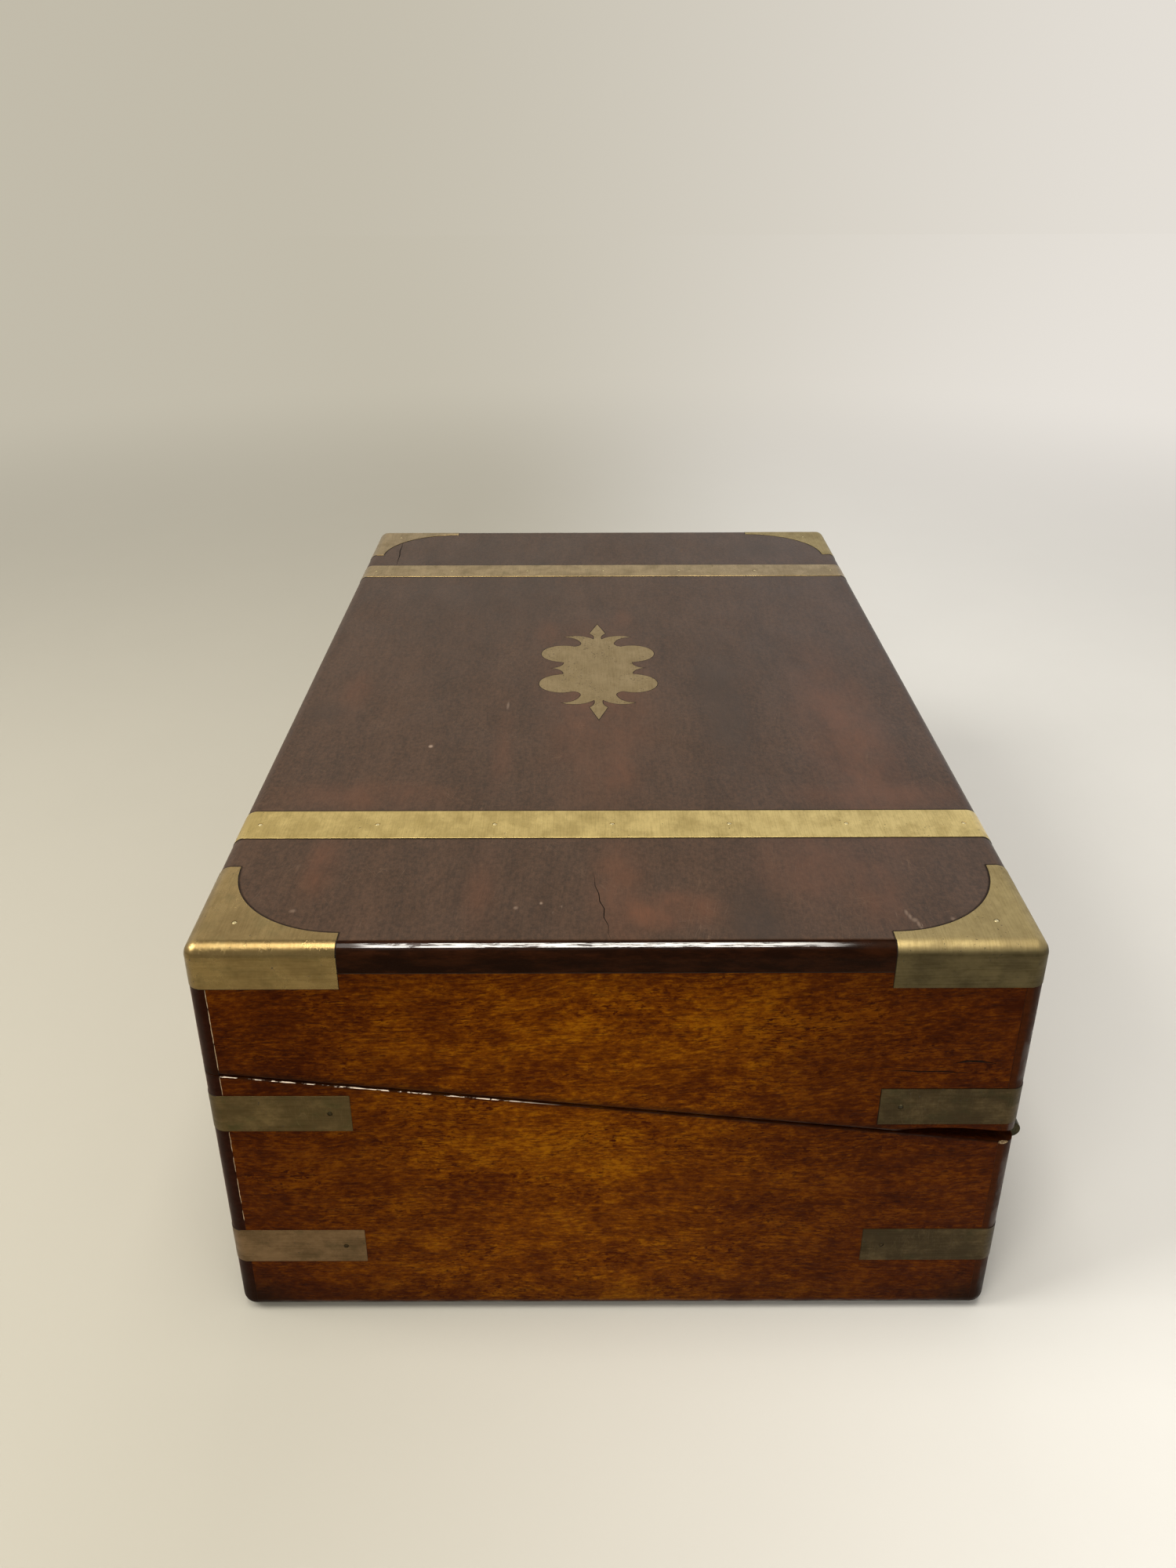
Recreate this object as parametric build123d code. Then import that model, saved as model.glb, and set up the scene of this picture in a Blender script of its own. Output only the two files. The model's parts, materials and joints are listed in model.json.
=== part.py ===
from build123d import *
import os
from math import atan2, cos, sin

# A brass-bound mahogany writing slope, shut. Sizes are in millimetres.
# The origin is the middle of the underside, +Z is up, +X runs along the box to the writer's right,
# and -Y faces the writer. The box opens on hinges along its front edge, at half its height, so that
# the lid folds right over and lies flat on the table, with its rim in one slope with the base's rim.

# ---- outside of the box ----
box_length = 410.0
box_depth = 250.0
box_height = 148.0
lid_back_depth = 46.0
edge_radius = 4.5
rim_gap = 0.3

# ---- boards ----
side_board = 12.0
end_board = 10.0
corner_lip = 5.5
top_board = 9.0
bottom_board = 6.0
bottom_housing = 5.0
baize_thickness = 1.0
baize_margin = 7.0

# ---- brass binding ----
brass_thickness = 1.2
brass_proud = 0.15
bracket_reach = 44.5
bracket_drop = 14.5
bracket_arm = 7.5
corner_strap_width = 14.0
corner_strap_reach = 44.0
back_upper_strap_drop = 22.5
front_upper_strap_rise = 7.7
lower_strap_bottom = 23.2
top_strap_width = 18.2
top_strap_inset = 71.5
top_strap_drop = 41.0
strap_pin_radius = 0.8
strap_pin_length = 8.0
top_strap_pins = 7
top_strap_pin_margin = 7.5
strap_pin_margin = 13.0

# ---- brass inlay in the lid ----
inlay_length = 106.0
inlay_width = 49.4
inlay_thickness = 1.2
inlay_set_along = 2.3
inlay_set_back = 3.7

# ---- main hinges ----
hinge_offset = 0.3
hinge_end_inset = 6.0
leaf_length = 55.0
leaf_width = 12.0
leaf_thickness = 1.6
barrel_radius = 2.8
knuckles = 5
knuckle_gap = 0.3
barrel_clearance = 0.3
hinge_pin_radius = 1.4
running_clearance = 0.05
leaf_screws = 3
leaf_screw_pitch = 15.0
leaf_screw_line = 7.6

# ---- screws ----
screw_head_radius = 2.2
screw_head_depth = 1.2
screw_shank_radius = 1.1
screw_length = 8.0

# ---- writing flaps ----
flap_thickness = 6.0
flap_sink = 1.25
flap_gap = 0.4
flap_side_gap = 0.6
flap_rest_gap = 0.15
flap_axis_gap = 0.3
leather_thickness = 0.8
leather_margin = 14.0
ledge_size = 5.0
thumb_recess_radius = 8.0
thumb_recess_depth = 2.5
flap_hinge_spread = 220.0
flap_leaf_length = 24.0
flap_leaf_width = 4.0
flap_leaf_thickness = 0.8
flap_leaf_gap = 0.15
flap_knuckles = 3
flap_barrel_radius = 1.1
flap_pin_radius = 0.5

# ---- turn button that keeps the lid's flap shut ----
button_length = 17.0
button_width = 7.0
button_thickness = 0.8
button_clearance = 0.15
button_pivot_radius = 1.5
button_pivot_length = 6.0
button_place = 60.0

# ---- pen section ----
pen_section_depth = 52.0
divider_thickness = 8.0
divider_rebate = 4.0
pen_floor_drop = 52.0
pen_floor_thickness = 6.0
inkwell_place = 50.0
inkwell_divider = 4.0
inkwell_divider_sink = 6.0
tray_height = 24.0
tray_clearance = 0.3
scoop_radius = 28.0
scoop_depth = 16.0
scoop_margin = 12.0
bottle_side = 46.0
bottle_height = 30.0
bottle_corner = 5.0
bottle_shoulder = 3.0
bottle_neck_radius = 12.0
bottle_neck_height = 6.0
bottle_bore_radius = 9.0
bottle_ink_radius = 17.0
bottle_floor = 6.0
cap_radius = 15.0
cap_height = 9.5
cap_wall = 2.0
cap_clearance = 0.2
cap_dome = 2.5

# ---- lock ----
plate_length = 54.0
plate_width = 7.0
plate_thickness = 1.5
plate_screw_inset = 4.0
case_length = 42.0
case_width = 6.6
case_wall = 1.0
case_bottom = 24.0
staple_pitch = 18.0
staple_thickness = 2.4
staple_width = 3.8
staple_drop = 7.6
staple_eye_width = 2.4
staple_eye_height = 3.0
staple_eye_top = 3.2
staple_slot_clearance = 0.4
bolt_travel = 4.5
bolt_side_clearance = 0.2
bolt_post = 2.0
bolt_prong_width = 1.6
bolt_prong_height = 2.0
bolt_bar_top = 8.4
bolt_bar_bottom = 17.0
bolt_tip_clearance = 0.5
bolt_tail = 4.0
stump_radius = 1.0
stump_depth = 12.5
stump_shift = -2.4
keyhole_radius = 2.2
keyhole_slot = 1.8
keyhole_drop = 8.0
keyhole_depth = 19.5
escutcheon_width = 12.0
escutcheon_height = 19.0
escutcheon_drop = 2.7

# ---- places that follow ----
half_length = box_length / 2
half_depth = box_depth / 2
inner_half_length = half_length - end_board
inner_half_depth = half_depth - side_board
hinge_y = -half_depth - hinge_offset
hinge_z = box_height / 2
back_rim_height = box_height - lid_back_depth
rim_angle = atan2(back_rim_height - hinge_z, half_depth - hinge_y)
half_rim_gap = rim_gap / 2
pen_floor_height = back_rim_height - pen_floor_drop
back_upper_strap_bottom = back_rim_height - back_upper_strap_drop
front_upper_strap_bottom = hinge_z + front_upper_strap_rise
brass_depth = brass_thickness - brass_proud
top_board_bottom = box_height - top_board
bottom_board_top = baize_thickness + bottom_board
barrel_room = barrel_radius + barrel_clearance
hinge_outer = half_length - hinge_end_inset
hinge_inner = hinge_outer - leaf_length
divider_back = inner_half_depth - pen_section_depth
divider_front = divider_back - divider_thickness
inkwell_x = inner_half_length - inkwell_place / 2
tray_half_length = inner_half_length - inkwell_place - inkwell_divider - tray_clearance
flap_bottom = flap_sink + flap_thickness
past = box_length

# The rim frame: its x runs along the hinges, its y up the slope of the rim from the hinge axis to the
# back, and its z squarely out of the rim, so that the base is below z = 0 and the lid above it.
rim = Plane(origin=(0, hinge_y, hinge_z), x_dir=(1, 0, 0), z_dir=(0, -sin(rim_angle), cos(rim_angle)))


def box_between(x, y, z):
    """Box between a low and a high value on each axis."""
    middle = Pos((x[0] + x[1]) / 2, (y[0] + y[1]) / 2, (z[0] + z[1]) / 2)
    return middle * Box(x[1] - x[0], y[1] - y[0], z[1] - z[0])


def rim_box(x, y, z):
    """Box between a low and a high value on each axis of the rim frame."""
    return rim.location * box_between(x, y, z)


def along_rim(y, z):
    """How far up the slope the upright plane at y lies, z above the rim."""
    return (y - hinge_y + z * sin(rim_angle)) / cos(rim_angle)


def rod(radius, start, end):
    """Round rod along the rim frame's x."""
    return rim.location * Pos((start + end) / 2, 0, 0) * Rot(0, 90, 0) * Cylinder(radius, end - start)


def shifted(shape, y, z):
    """Shape moved by y and z in the rim frame."""
    return rim.location * Pos(0, y, z) * rim.location.inverse() * shape


def less(shape, *tools):
    """Shape with each tool cut away."""
    for tool in tools:
        shape = shape - tool
    return shape


def mirrored(shape):
    """The same shape at the other end of the box."""
    return mirror(shape, about=Plane.YZ)


def envelope(grow):
    """Outside of the shut box, moved outwards by grow, or inwards where that is negative."""
    block = box_between(
        (-half_length - grow, half_length + grow),
        (-half_depth - grow, half_depth + grow),
        (baize_thickness - grow, box_height + grow),
    )
    return fillet(block.edges(), edge_radius + grow)


outside = envelope(0)
brass_skin = envelope(brass_proud) - envelope(-brass_depth)
below_rim = rim_box((-past, past), (-past, past), (-past, -half_rim_gap))
above_rim = rim_box((-past, past), (-past, past), (half_rim_gap, past))
base_block = outside & below_rim
lid_block = outside & above_rim


# ---- brass binding ----
def corner_strap(side, bottom):
    """Strap round the right-hand upright corner at the back (side 1) or the front (side -1)."""
    across = sorted((side * (half_depth - corner_strap_reach), side * past))
    region = box_between(
        (half_length - corner_strap_reach, past), across, (bottom, bottom + corner_strap_width)
    )
    return brass_skin & region


def corner_bracket(side):
    """Three-sided bracket on the lid's right-hand corner, with a hollow curve to its top plate."""
    across = sorted((side * (half_depth - bracket_reach), side * past))
    region = box_between((half_length - bracket_reach, past), across, (box_height - bracket_drop, past))
    hollow = Pos(half_length - bracket_reach, side * (half_depth - bracket_reach), box_height)
    return brass_skin & (region - hollow * Cylinder(bracket_reach - bracket_arm, past))


def top_strap():
    """Strap across the lid near its right-hand end, turned down over both long edges."""
    middle = half_length - top_strap_inset
    across = (middle - top_strap_width / 2, middle + top_strap_width / 2)
    return brass_skin & box_between(across, (-past, past), (box_height - top_strap_drop, past))


def top_pin(x, y):
    """Flush pin driven down through the brass on the lid."""
    level = box_height + brass_proud - strap_pin_length / 2
    return Pos(x, y, level) * Cylinder(strap_pin_radius, strap_pin_length)


def end_pin(side, bottom):
    """Flush pin driven through a corner strap into the right-hand end."""
    level = half_length + brass_proud - strap_pin_length / 2
    place = Pos(level, side * (half_depth - corner_strap_reach + strap_pin_margin / 2), bottom)
    return place * Pos(0, 0, corner_strap_width / 2) * Rot(0, 90, 0) * Cylinder(
        strap_pin_radius, strap_pin_length
    )


def top_pins():
    """Pins of the right-hand half of the lid: a row along the strap and one in each bracket."""
    row = half_depth - top_strap_pin_margin
    corner = half_depth - strap_pin_margin
    pins = [
        top_pin(half_length - top_strap_inset, -row + 2 * row * number / (top_strap_pins - 1))
        for number in range(top_strap_pins)
    ]
    pins += [top_pin(half_length - strap_pin_margin, side * corner) for side in (1, -1)]
    return pins


def both_ends(shapes):
    """The shapes of the right-hand half and their mirror images, as one group."""
    shapes = [shape for one in shapes for shape in one.solids()]
    return Part() + shapes + [mirrored(shape) for shape in shapes]


right_back_upper_strap = corner_strap(1, back_upper_strap_bottom)
right_back_lower_strap = corner_strap(1, lower_strap_bottom)
right_front_lower_strap = corner_strap(-1, lower_strap_bottom)
right_front_upper_strap = corner_strap(-1, front_upper_strap_bottom)
right_back_corner = corner_bracket(1)
right_front_corner = corner_bracket(-1)
right_top_strap = top_strap()
base_pins = both_ends([
    end_pin(1, back_upper_strap_bottom),
    end_pin(1, lower_strap_bottom),
    end_pin(-1, lower_strap_bottom),
])
lid_pins = both_ends(top_pins() + [end_pin(-1, front_upper_strap_bottom)])
base_brass = both_ends([right_back_upper_strap, right_back_lower_strap, right_front_lower_strap])
lid_brass = both_ends([right_back_corner, right_front_corner, right_top_strap, right_front_upper_strap])


# ---- brass inlay ----
def inlay_point(along, across):
    """Point of the inlay's outline, as shares of its half length and half width."""
    return (along * inlay_length / 2, across * inlay_width / 2)


def top_inlay():
    """Inlay of four round lobes, two finials, four horns and two side spikes, flush with the lid.

    It is let in by hand, a little off the middle of the lid.
    """
    tip = inlay_point(1.0, 0.0)
    shoulder = inlay_point(0.77, 0.15)
    neck = inlay_point(0.64, 0.075)
    horn_tip = inlay_point(0.685, 0.61)
    horn_root = inlay_point(0.57, 0.315)
    lobe_start = inlay_point(0.47, 0.42)
    lobe_end = inlay_point(0.14, 0.73)
    spike_root = inlay_point(0.12, 0.6)
    spike_tip = inlay_point(0.0, 0.82)
    with BuildSketch() as outline:
        with BuildLine():
            Line(tip, shoulder)
            ThreePointArc(shoulder, inlay_point(0.69, 0.07), neck)
            ThreePointArc(neck, inlay_point(0.71, 0.3), horn_tip)
            ThreePointArc(horn_tip, inlay_point(0.645, 0.41), horn_root)
            ThreePointArc(horn_root, inlay_point(0.49, 0.34), lobe_start)
            ThreePointArc(lobe_start, inlay_point(0.3, 1.0), lobe_end)
            Line(lobe_end, spike_root)
            ThreePointArc(spike_root, inlay_point(0.03, 0.68), spike_tip)
            mirror(about=Plane.XZ)
            mirror(about=Plane.YZ)
        make_face()
    place = Pos(inlay_set_along, inlay_set_back, box_height - inlay_thickness)
    return place * extrude(outline.sketch, inlay_thickness)


# ---- screws ----
def screw(x, y, side):
    """Countersunk screw square to the rim, its head flush: down into the base (-1) or up (1)."""
    profile = Polyline(
        (0, 0),
        (screw_head_radius, 0),
        (screw_shank_radius, screw_head_depth),
        (screw_shank_radius, screw_length),
        (0, screw_length),
        close=True,
    )
    solid = revolve(make_face(Plane.XZ * profile), Axis.Z)
    turn = Rot(0 if side > 0 else 180, 0, 0)
    return rim.location * Pos(x, y, side * half_rim_gap) * turn * solid


def hinge_screws(side):
    """Screws of the right-hand main hinge's leaf on one side of the rim."""
    return [
        screw(hinge_outer - leaf_screw_pitch * (number + 1), leaf_screw_line, side)
        for number in range(leaf_screws)
    ]


def plate_screws(side):
    """Right-hand screw of the lock's plate on one side of the rim."""
    return [screw(plate_length / 2 - plate_screw_inset, lock_line, side)]


# ---- main hinges ----
def knuckle_span(number, start, end, count):
    """Where one knuckle of a barrel starts and ends."""
    pitch = (end - start + knuckle_gap) / count
    return start + number * pitch, start + (number + 1) * pitch - knuckle_gap


def hinge_leaf(side):
    """Leaf of the right-hand main hinge: the base's has the odd knuckles (-1), the lid's the rest (1)."""
    level = sorted((side * half_rim_gap, side * (half_rim_gap + leaf_thickness)))
    leaf = rim_box((hinge_inner, hinge_outer), (0, leaf_width), level)
    for number in range(knuckles):
        start, end = knuckle_span(number, hinge_inner, hinge_outer, knuckles)
        if (number % 2 == 0) == (side < 0):
            leaf = leaf + rod(barrel_radius, start, end)
        else:
            leaf = leaf - rod(barrel_room, start - knuckle_gap, end + knuckle_gap)
    leaf = leaf - rod(hinge_pin_radius + running_clearance, hinge_inner, hinge_outer)
    return less(leaf, *hinge_screws(side))


def hinge_pin():
    """Pin of the right-hand main hinge."""
    return rod(hinge_pin_radius, hinge_inner, hinge_outer)


def hinge_recess(side):
    """Room for the right-hand hinge in one half's rim: the leaf's seat and a hollow for the barrel."""
    level = sorted((0, side * (half_rim_gap + leaf_thickness)))
    seat = rim_box((hinge_inner, hinge_outer), (-barrel_room, leaf_width), level)
    return seat + rod(barrel_room, hinge_inner - knuckle_gap, hinge_outer + knuckle_gap)


# ---- lock ----
lock_line = along_rim(half_depth - side_board / 2, -case_bottom / 2)
plate_level = half_rim_gap + plate_thickness
case_inside = case_width - 2 * case_wall
bolt_width = case_inside - 2 * bolt_side_clearance
bolt_reach = staple_thickness / 2 + bolt_tip_clearance
bolt_post_start = -bolt_reach - bolt_travel - bolt_post
bolt_prong_top = half_rim_gap + staple_eye_top + (staple_eye_height - bolt_prong_height) / 2
staples = (-staple_pitch / 2, staple_pitch / 2)
keyhole_place = (rim.location * Pos(0, lock_line, -keyhole_depth)).position


def lock_box(x, y, z):
    """Box in the rim frame, measured across from the middle of the lock."""
    return rim_box(x, (lock_line + y[0], lock_line + y[1]), z)


def lock_strip(half_span, half_width, z):
    """Box in the rim frame, centred on the lock."""
    return lock_box((-half_span, half_span), (-half_width, half_width), z)


def staple_room(clearance):
    """The two staples with clearance round them."""
    room = Part()
    for x in staples:
        half = staple_thickness / 2 + clearance
        wide = staple_width / 2 + clearance
        room = room + lock_box(
            (x - half, x + half), (-wide, wide), (-half_rim_gap - staple_drop - clearance, 0)
        )
    return room


def lock_face_plate():
    """Brass plate flush with the base's rim, with a slot for each staple."""
    plate = lock_strip(plate_length / 2, plate_width / 2, (-plate_level, -half_rim_gap))
    plate = less(plate, staple_room(staple_slot_clearance), *plate_screws(-1))
    return less(plate, *[mirrored(one) for one in plate_screws(-1)])


def keyhole():
    """Keyhole from the middle of the case out through the back: a round hole with a slot below it."""
    start = keyhole_place.Y
    end = half_depth + brass_thickness
    level = keyhole_place.Z
    slot = box_between((-keyhole_slot / 2, keyhole_slot / 2), (start, end), (level - keyhole_drop, level))
    return slot + Pos(0, (start + end) / 2, level) * Rot(90, 0, 0) * Cylinder(keyhole_radius, end - start)


def guide_stump(x, radius):
    """Round stump across the case at x."""
    place = rim.location * Pos(x, lock_line, -stump_depth) * Rot(90, 0, 0)
    return place * Cylinder(radius, case_width - case_wall)


def guide_stumps():
    """The two stumps that guide the bolt."""
    return Part() + [guide_stump(x + stump_shift, stump_radius) for x in staples]


def bolt_slots():
    """The two slots in the bolt that its stumps pass through, as long as its travel."""
    radius = stump_radius + bolt_side_clearance
    slots = Part()
    for x in staples:
        start = x + stump_shift - bolt_travel
        ends = [guide_stump(start, radius), guide_stump(start + bolt_travel, radius)]
        level = (-stump_depth - radius, -stump_depth + radius)
        span = (start, start + bolt_travel)
        slots = slots + ends + lock_box(span, (-case_width / 2, case_width / 2), level)
    return slots


def lock_case():
    """Brass case let into the back board: an open-topped box with two stumps across it."""
    outer = lock_strip(case_length / 2, case_width / 2, (-case_bottom, -plate_level))
    inner = lock_strip(case_length / 2 - case_wall, case_inside / 2, (-case_bottom + case_wall, 0))
    return less(outer, inner, keyhole()) + guide_stumps()


def lock_bolt():
    """Bolt that slides to the right: a bar with a post and prong beside each staple."""
    half = bolt_width / 2
    prong = bolt_prong_width / 2
    start = staples[0] + bolt_post_start
    end = staples[1] - bolt_reach - bolt_travel + bolt_tail
    bolt = lock_box((start, end), (-half, half), (-bolt_bar_bottom, -bolt_bar_top))
    for x in staples:
        post = x + bolt_post_start
        bolt = bolt + lock_box((post, post + bolt_post), (-prong, prong), (-bolt_bar_top, -bolt_prong_top))
        level = (-bolt_prong_top - bolt_prong_height, -bolt_prong_top)
        bolt = bolt + lock_box((post, x - bolt_reach), (-prong, prong), level)
    return bolt - bolt_slots()


def link_plate():
    """Brass plate on the lid's rim, with two eyed staples that enter the lock."""
    plate = lock_strip(plate_length / 2, plate_width / 2, (half_rim_gap, plate_level))
    top = -half_rim_gap - staple_eye_top
    for x in staples:
        span = (x - staple_thickness / 2, x + staple_thickness / 2)
        plate = plate + lock_box(
            span, (-staple_width / 2, staple_width / 2), (-half_rim_gap - staple_drop, half_rim_gap)
        )
        plate = plate - lock_box(
            span, (-staple_eye_width / 2, staple_eye_width / 2), (top - staple_eye_height, top)
        )
    plate = less(plate, *plate_screws(1))
    return less(plate, *[mirrored(one) for one in plate_screws(1)])


def escutcheon():
    """Oval brass plate round the keyhole, flush with the back."""
    level = keyhole_place.Z - escutcheon_drop
    outline = Pos(0, half_depth, level) * Rot(90, 0, 0) * Ellipse(escutcheon_width / 2, escutcheon_height / 2)
    return extrude(outline, brass_thickness) - keyhole()


# ---- writing flaps ----
flap_axis_y = along_rim(-inner_half_depth, 0) + flap_axis_gap
flap_half_length = inner_half_length - flap_side_gap
flap_hinges = (-flap_hinge_spread / 2, flap_hinge_spread / 2)


def flap_slab(side, top, bottom, far):
    """Slab under one half's rim, from top to bottom, bevelled along the front board, up to far."""
    level = sorted((side * top, side * bottom))
    slab = rim_box((-flap_half_length, flap_half_length), (0, far), level)
    front = -inner_half_depth + flap_gap
    return slab & box_between((-past, past), (front, past), (-past, past))


def flap_panel(side, far):
    """Writing flap with a sunk middle for its leather and a thumb recess in its free edge."""
    panel = flap_slab(side, flap_sink, flap_bottom, far)
    edge = rim.location * Pos(0, far, side * flap_sink)
    recess = edge * Cylinder(thumb_recess_radius, 2 * thumb_recess_depth)
    return less(panel, flap_leather(side, far), recess, flap_leaf_seat(side, 1))


def flap_leather(side, far):
    """Leather writing surface, flush in the flap."""
    half = flap_half_length - leather_margin
    near = flap_axis_y + leather_margin
    level = sorted((side * flap_sink, side * (flap_sink + leather_thickness)))
    return rim_box((-half, half), (near, far - leather_margin), level)


def flap_leaf_seat(side, turn):
    """Seats of a flap's two hinges in its own edge (turn 1) or in the front board (turn -1)."""
    leaf_back = flap_axis_y + turn * (flap_leaf_gap + flap_leaf_thickness)
    across = sorted((flap_axis_y - turn * side_board / 2, leaf_back))
    level = sorted((0, side * (flap_sink + flap_leaf_width)))
    seat = Part()
    for x in flap_hinges:
        span = (x - flap_leaf_length / 2, x + flap_leaf_length / 2)
        seat = seat + rim_box(span, across, level)
        room = rod(flap_barrel_radius + flap_leaf_gap, span[0] - knuckle_gap, span[1] + knuckle_gap)
        seat = seat + shifted(room, flap_axis_y, side * flap_sink)
    return seat


def flap_leaves(side, turn):
    """Leaves of a flap's two hinges: the moving ones (turn 1), or the fixed ones with their pins (-1)."""
    face = flap_axis_y + turn * flap_leaf_gap
    across = sorted((face, face + turn * flap_leaf_thickness))
    level = sorted((side * flap_sink, side * (flap_sink + flap_leaf_width)))
    leaves = Part()
    for x in flap_hinges:
        span = (x - flap_leaf_length / 2, x + flap_leaf_length / 2)
        leaf = rim_box(span, across, level)
        for number in range(flap_knuckles):
            start, end = knuckle_span(number, *span, flap_knuckles)
            if (number % 2 == 1) == (turn > 0):
                leaf = leaf + shifted(rod(flap_barrel_radius, start, end), flap_axis_y, side * flap_sink)
            else:
                room = rod(flap_barrel_radius + flap_leaf_gap, start - knuckle_gap, end + knuckle_gap)
                leaf = leaf - shifted(room, flap_axis_y, side * flap_sink)
        if turn > 0:
            bore = rod(flap_pin_radius + running_clearance, *span)
            leaf = leaf - shifted(bore, flap_axis_y, side * flap_sink)
        else:
            leaf = leaf + shifted(rod(flap_pin_radius, *span), flap_axis_y, side * flap_sink)
        leaves = leaves + leaf
    return leaves


def flap_ledges(side, far):
    """Strips glued inside both ends, which the flap lies on."""
    face = side * (flap_bottom + flap_rest_gap)
    level = sorted((face, face + side * ledge_size))
    strip = rim_box((inner_half_length - ledge_size, inner_half_length), (-past, past), level)
    strip = strip & box_between((-past, past), (-inner_half_depth, far), (-past, past))
    return both_ends([strip])


base_flap_far = along_rim(divider_front + divider_rebate - flap_gap, -flap_bottom)
lid_flap_far = along_rim(inner_half_depth, 0) - flap_gap

# ---- turn button ----
button_level = (half_rim_gap + button_clearance, half_rim_gap + button_clearance + button_thickness)
button_line = along_rim(half_depth - side_board / 2, 0)


def button_pivot(radius, start, end):
    """Round post at the turn button's pivot, square to the rim."""
    middle = rim.location * Pos(button_place, button_line, (start + end) / 2)
    return middle * Cylinder(radius, end - start)


def turn_button():
    """Brass button that lies along the rim, and turns a quarter to reach over the flap's edge."""
    length = button_length - button_width
    blade = SlotCenterToCenter(length, button_width)
    blade = rim.location * Pos(button_place + length / 2, button_line, button_level[0]) * blade
    blade = extrude(blade, button_thickness, dir=rim.z_dir)
    return blade + button_pivot(button_pivot_radius, button_level[1], button_level[1] + button_pivot_length)


def button_recess():
    """Shallow pocket in the lid's rim that the button turns in, and its pivot's hole."""
    half = button_width / 2 + button_clearance * 2
    reach = button_length - button_width / 2 + button_clearance * 2
    depth = button_level[1] + button_clearance
    span = (button_place - half, button_place + reach)
    pocket = rim_box(span, (button_line - past, button_line + half), (0, depth))
    bore = button_pivot(button_pivot_radius + running_clearance, 0, button_level[1] + button_pivot_length)
    return pocket + bore


# ---- boards ----
def end_space(z):
    """Where the right-hand end board sits, behind the lips of the long boards."""
    reach = half_depth - corner_lip
    return box_between((inner_half_length, past), (-reach, reach), z)


def end_spaces():
    """Both end boards' places, over the whole height."""
    space = end_space((-past, past))
    return space + mirrored(space)


def long_board(block, side, z):
    """Front (side -1) or back (side 1) board of one half, rebated at its ends."""
    across = sorted((side * inner_half_depth, side * past))
    return (block & box_between((-past, past), across, z)) - end_spaces()


def base_bottom_board():
    """Bottom board, housed in a groove round the base."""
    reach_x = inner_half_length + bottom_housing
    reach_y = inner_half_depth + bottom_housing
    return box_between((-reach_x, reach_x), (-reach_y, reach_y), (baize_thickness, bottom_board_top))


def both(shape):
    """A right-hand shape with its mirror image."""
    return shape + mirrored(shape)


bottom = base_bottom_board()
base_height = (-past, past)
lid_height = (-past, top_board_bottom)
base_hinge_room = both(hinge_recess(-1))
lid_hinge_room = both(hinge_recess(1))
base_screws = both_ends(hinge_screws(-1) + plate_screws(-1))
lid_screws = both_ends(hinge_screws(1) + plate_screws(1))
lock_mortise = lock_strip(plate_length / 2, plate_width / 2, (-plate_level, 0))
lock_mortise = lock_mortise + lock_strip(case_length / 2, case_width / 2, (-case_bottom, -half_rim_gap))
link_recess = lock_strip(plate_length / 2, plate_width / 2, (0, plate_level))
plate_of_escutcheon = escutcheon()
inlay = top_inlay()

base_front_board = less(
    long_board(base_block, -1, base_height),
    bottom, base_brass, base_hinge_room, flap_leaf_seat(-1, -1), base_screws,
)
base_back_board = less(
    long_board(base_block, 1, base_height),
    bottom, base_brass, lock_mortise, plate_of_escutcheon, keyhole(), base_screws,
)
base_right_end = less(
    base_block & end_space(base_height), bottom, base_brass, base_hinge_room, base_pins
)
lid_front_board = less(
    long_board(lid_block, -1, lid_height),
    lid_brass, lid_hinge_room, flap_leaf_seat(1, -1), lid_screws, lid_pins,
)
lid_back_board = less(
    long_board(lid_block, 1, lid_height),
    lid_brass, link_recess, button_recess(), lid_screws, lid_pins,
)
lid_right_end = less(lid_block & end_space(lid_height), lid_brass, lid_hinge_room, lid_pins)
lid_top_board = less(
    lid_block & box_between((-past, past), (-past, past), (top_board_bottom, past)),
    lid_brass, inlay, lid_pins,
)


# ---- pen section ----
def underside_baize():
    """Baize glued to the underside, which the box stands on."""
    reach_x = half_length - baize_margin
    reach_y = half_depth - baize_margin
    return box_between((-reach_x, reach_x), (-reach_y, reach_y), (0, baize_thickness))


def pen_section_floor():
    """Shelf under the pen section; the well runs on below it."""
    level = (pen_floor_height - pen_floor_thickness, pen_floor_height)
    return box_between((-inner_half_length, inner_half_length), (divider_front, inner_half_depth), level)


def pen_section_divider():
    """Rail between the flap and the pen section, rebated for the flap's edge."""
    across = (divider_front, divider_back)
    rail = box_between((-inner_half_length, inner_half_length), across, (pen_floor_height, past))
    step = rim_box((-past, past), (-past, past), (-flap_bottom - flap_rest_gap, past))
    step = step & box_between((-past, past), (-past, divider_front + divider_rebate), (-past, past))
    return (rail & below_rim) - step


def inkwell_dividers():
    """Thin partitions between the pen tray and the two inkwells."""
    outer = inner_half_length - inkwell_place
    across = (divider_back, inner_half_depth)
    wall = box_between((outer - inkwell_divider, outer), across, (pen_floor_height, past))
    low = rim_box((-past, past), (-past, past), (-past, -inkwell_divider_sink))
    return both_ends([wall & low])


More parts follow.
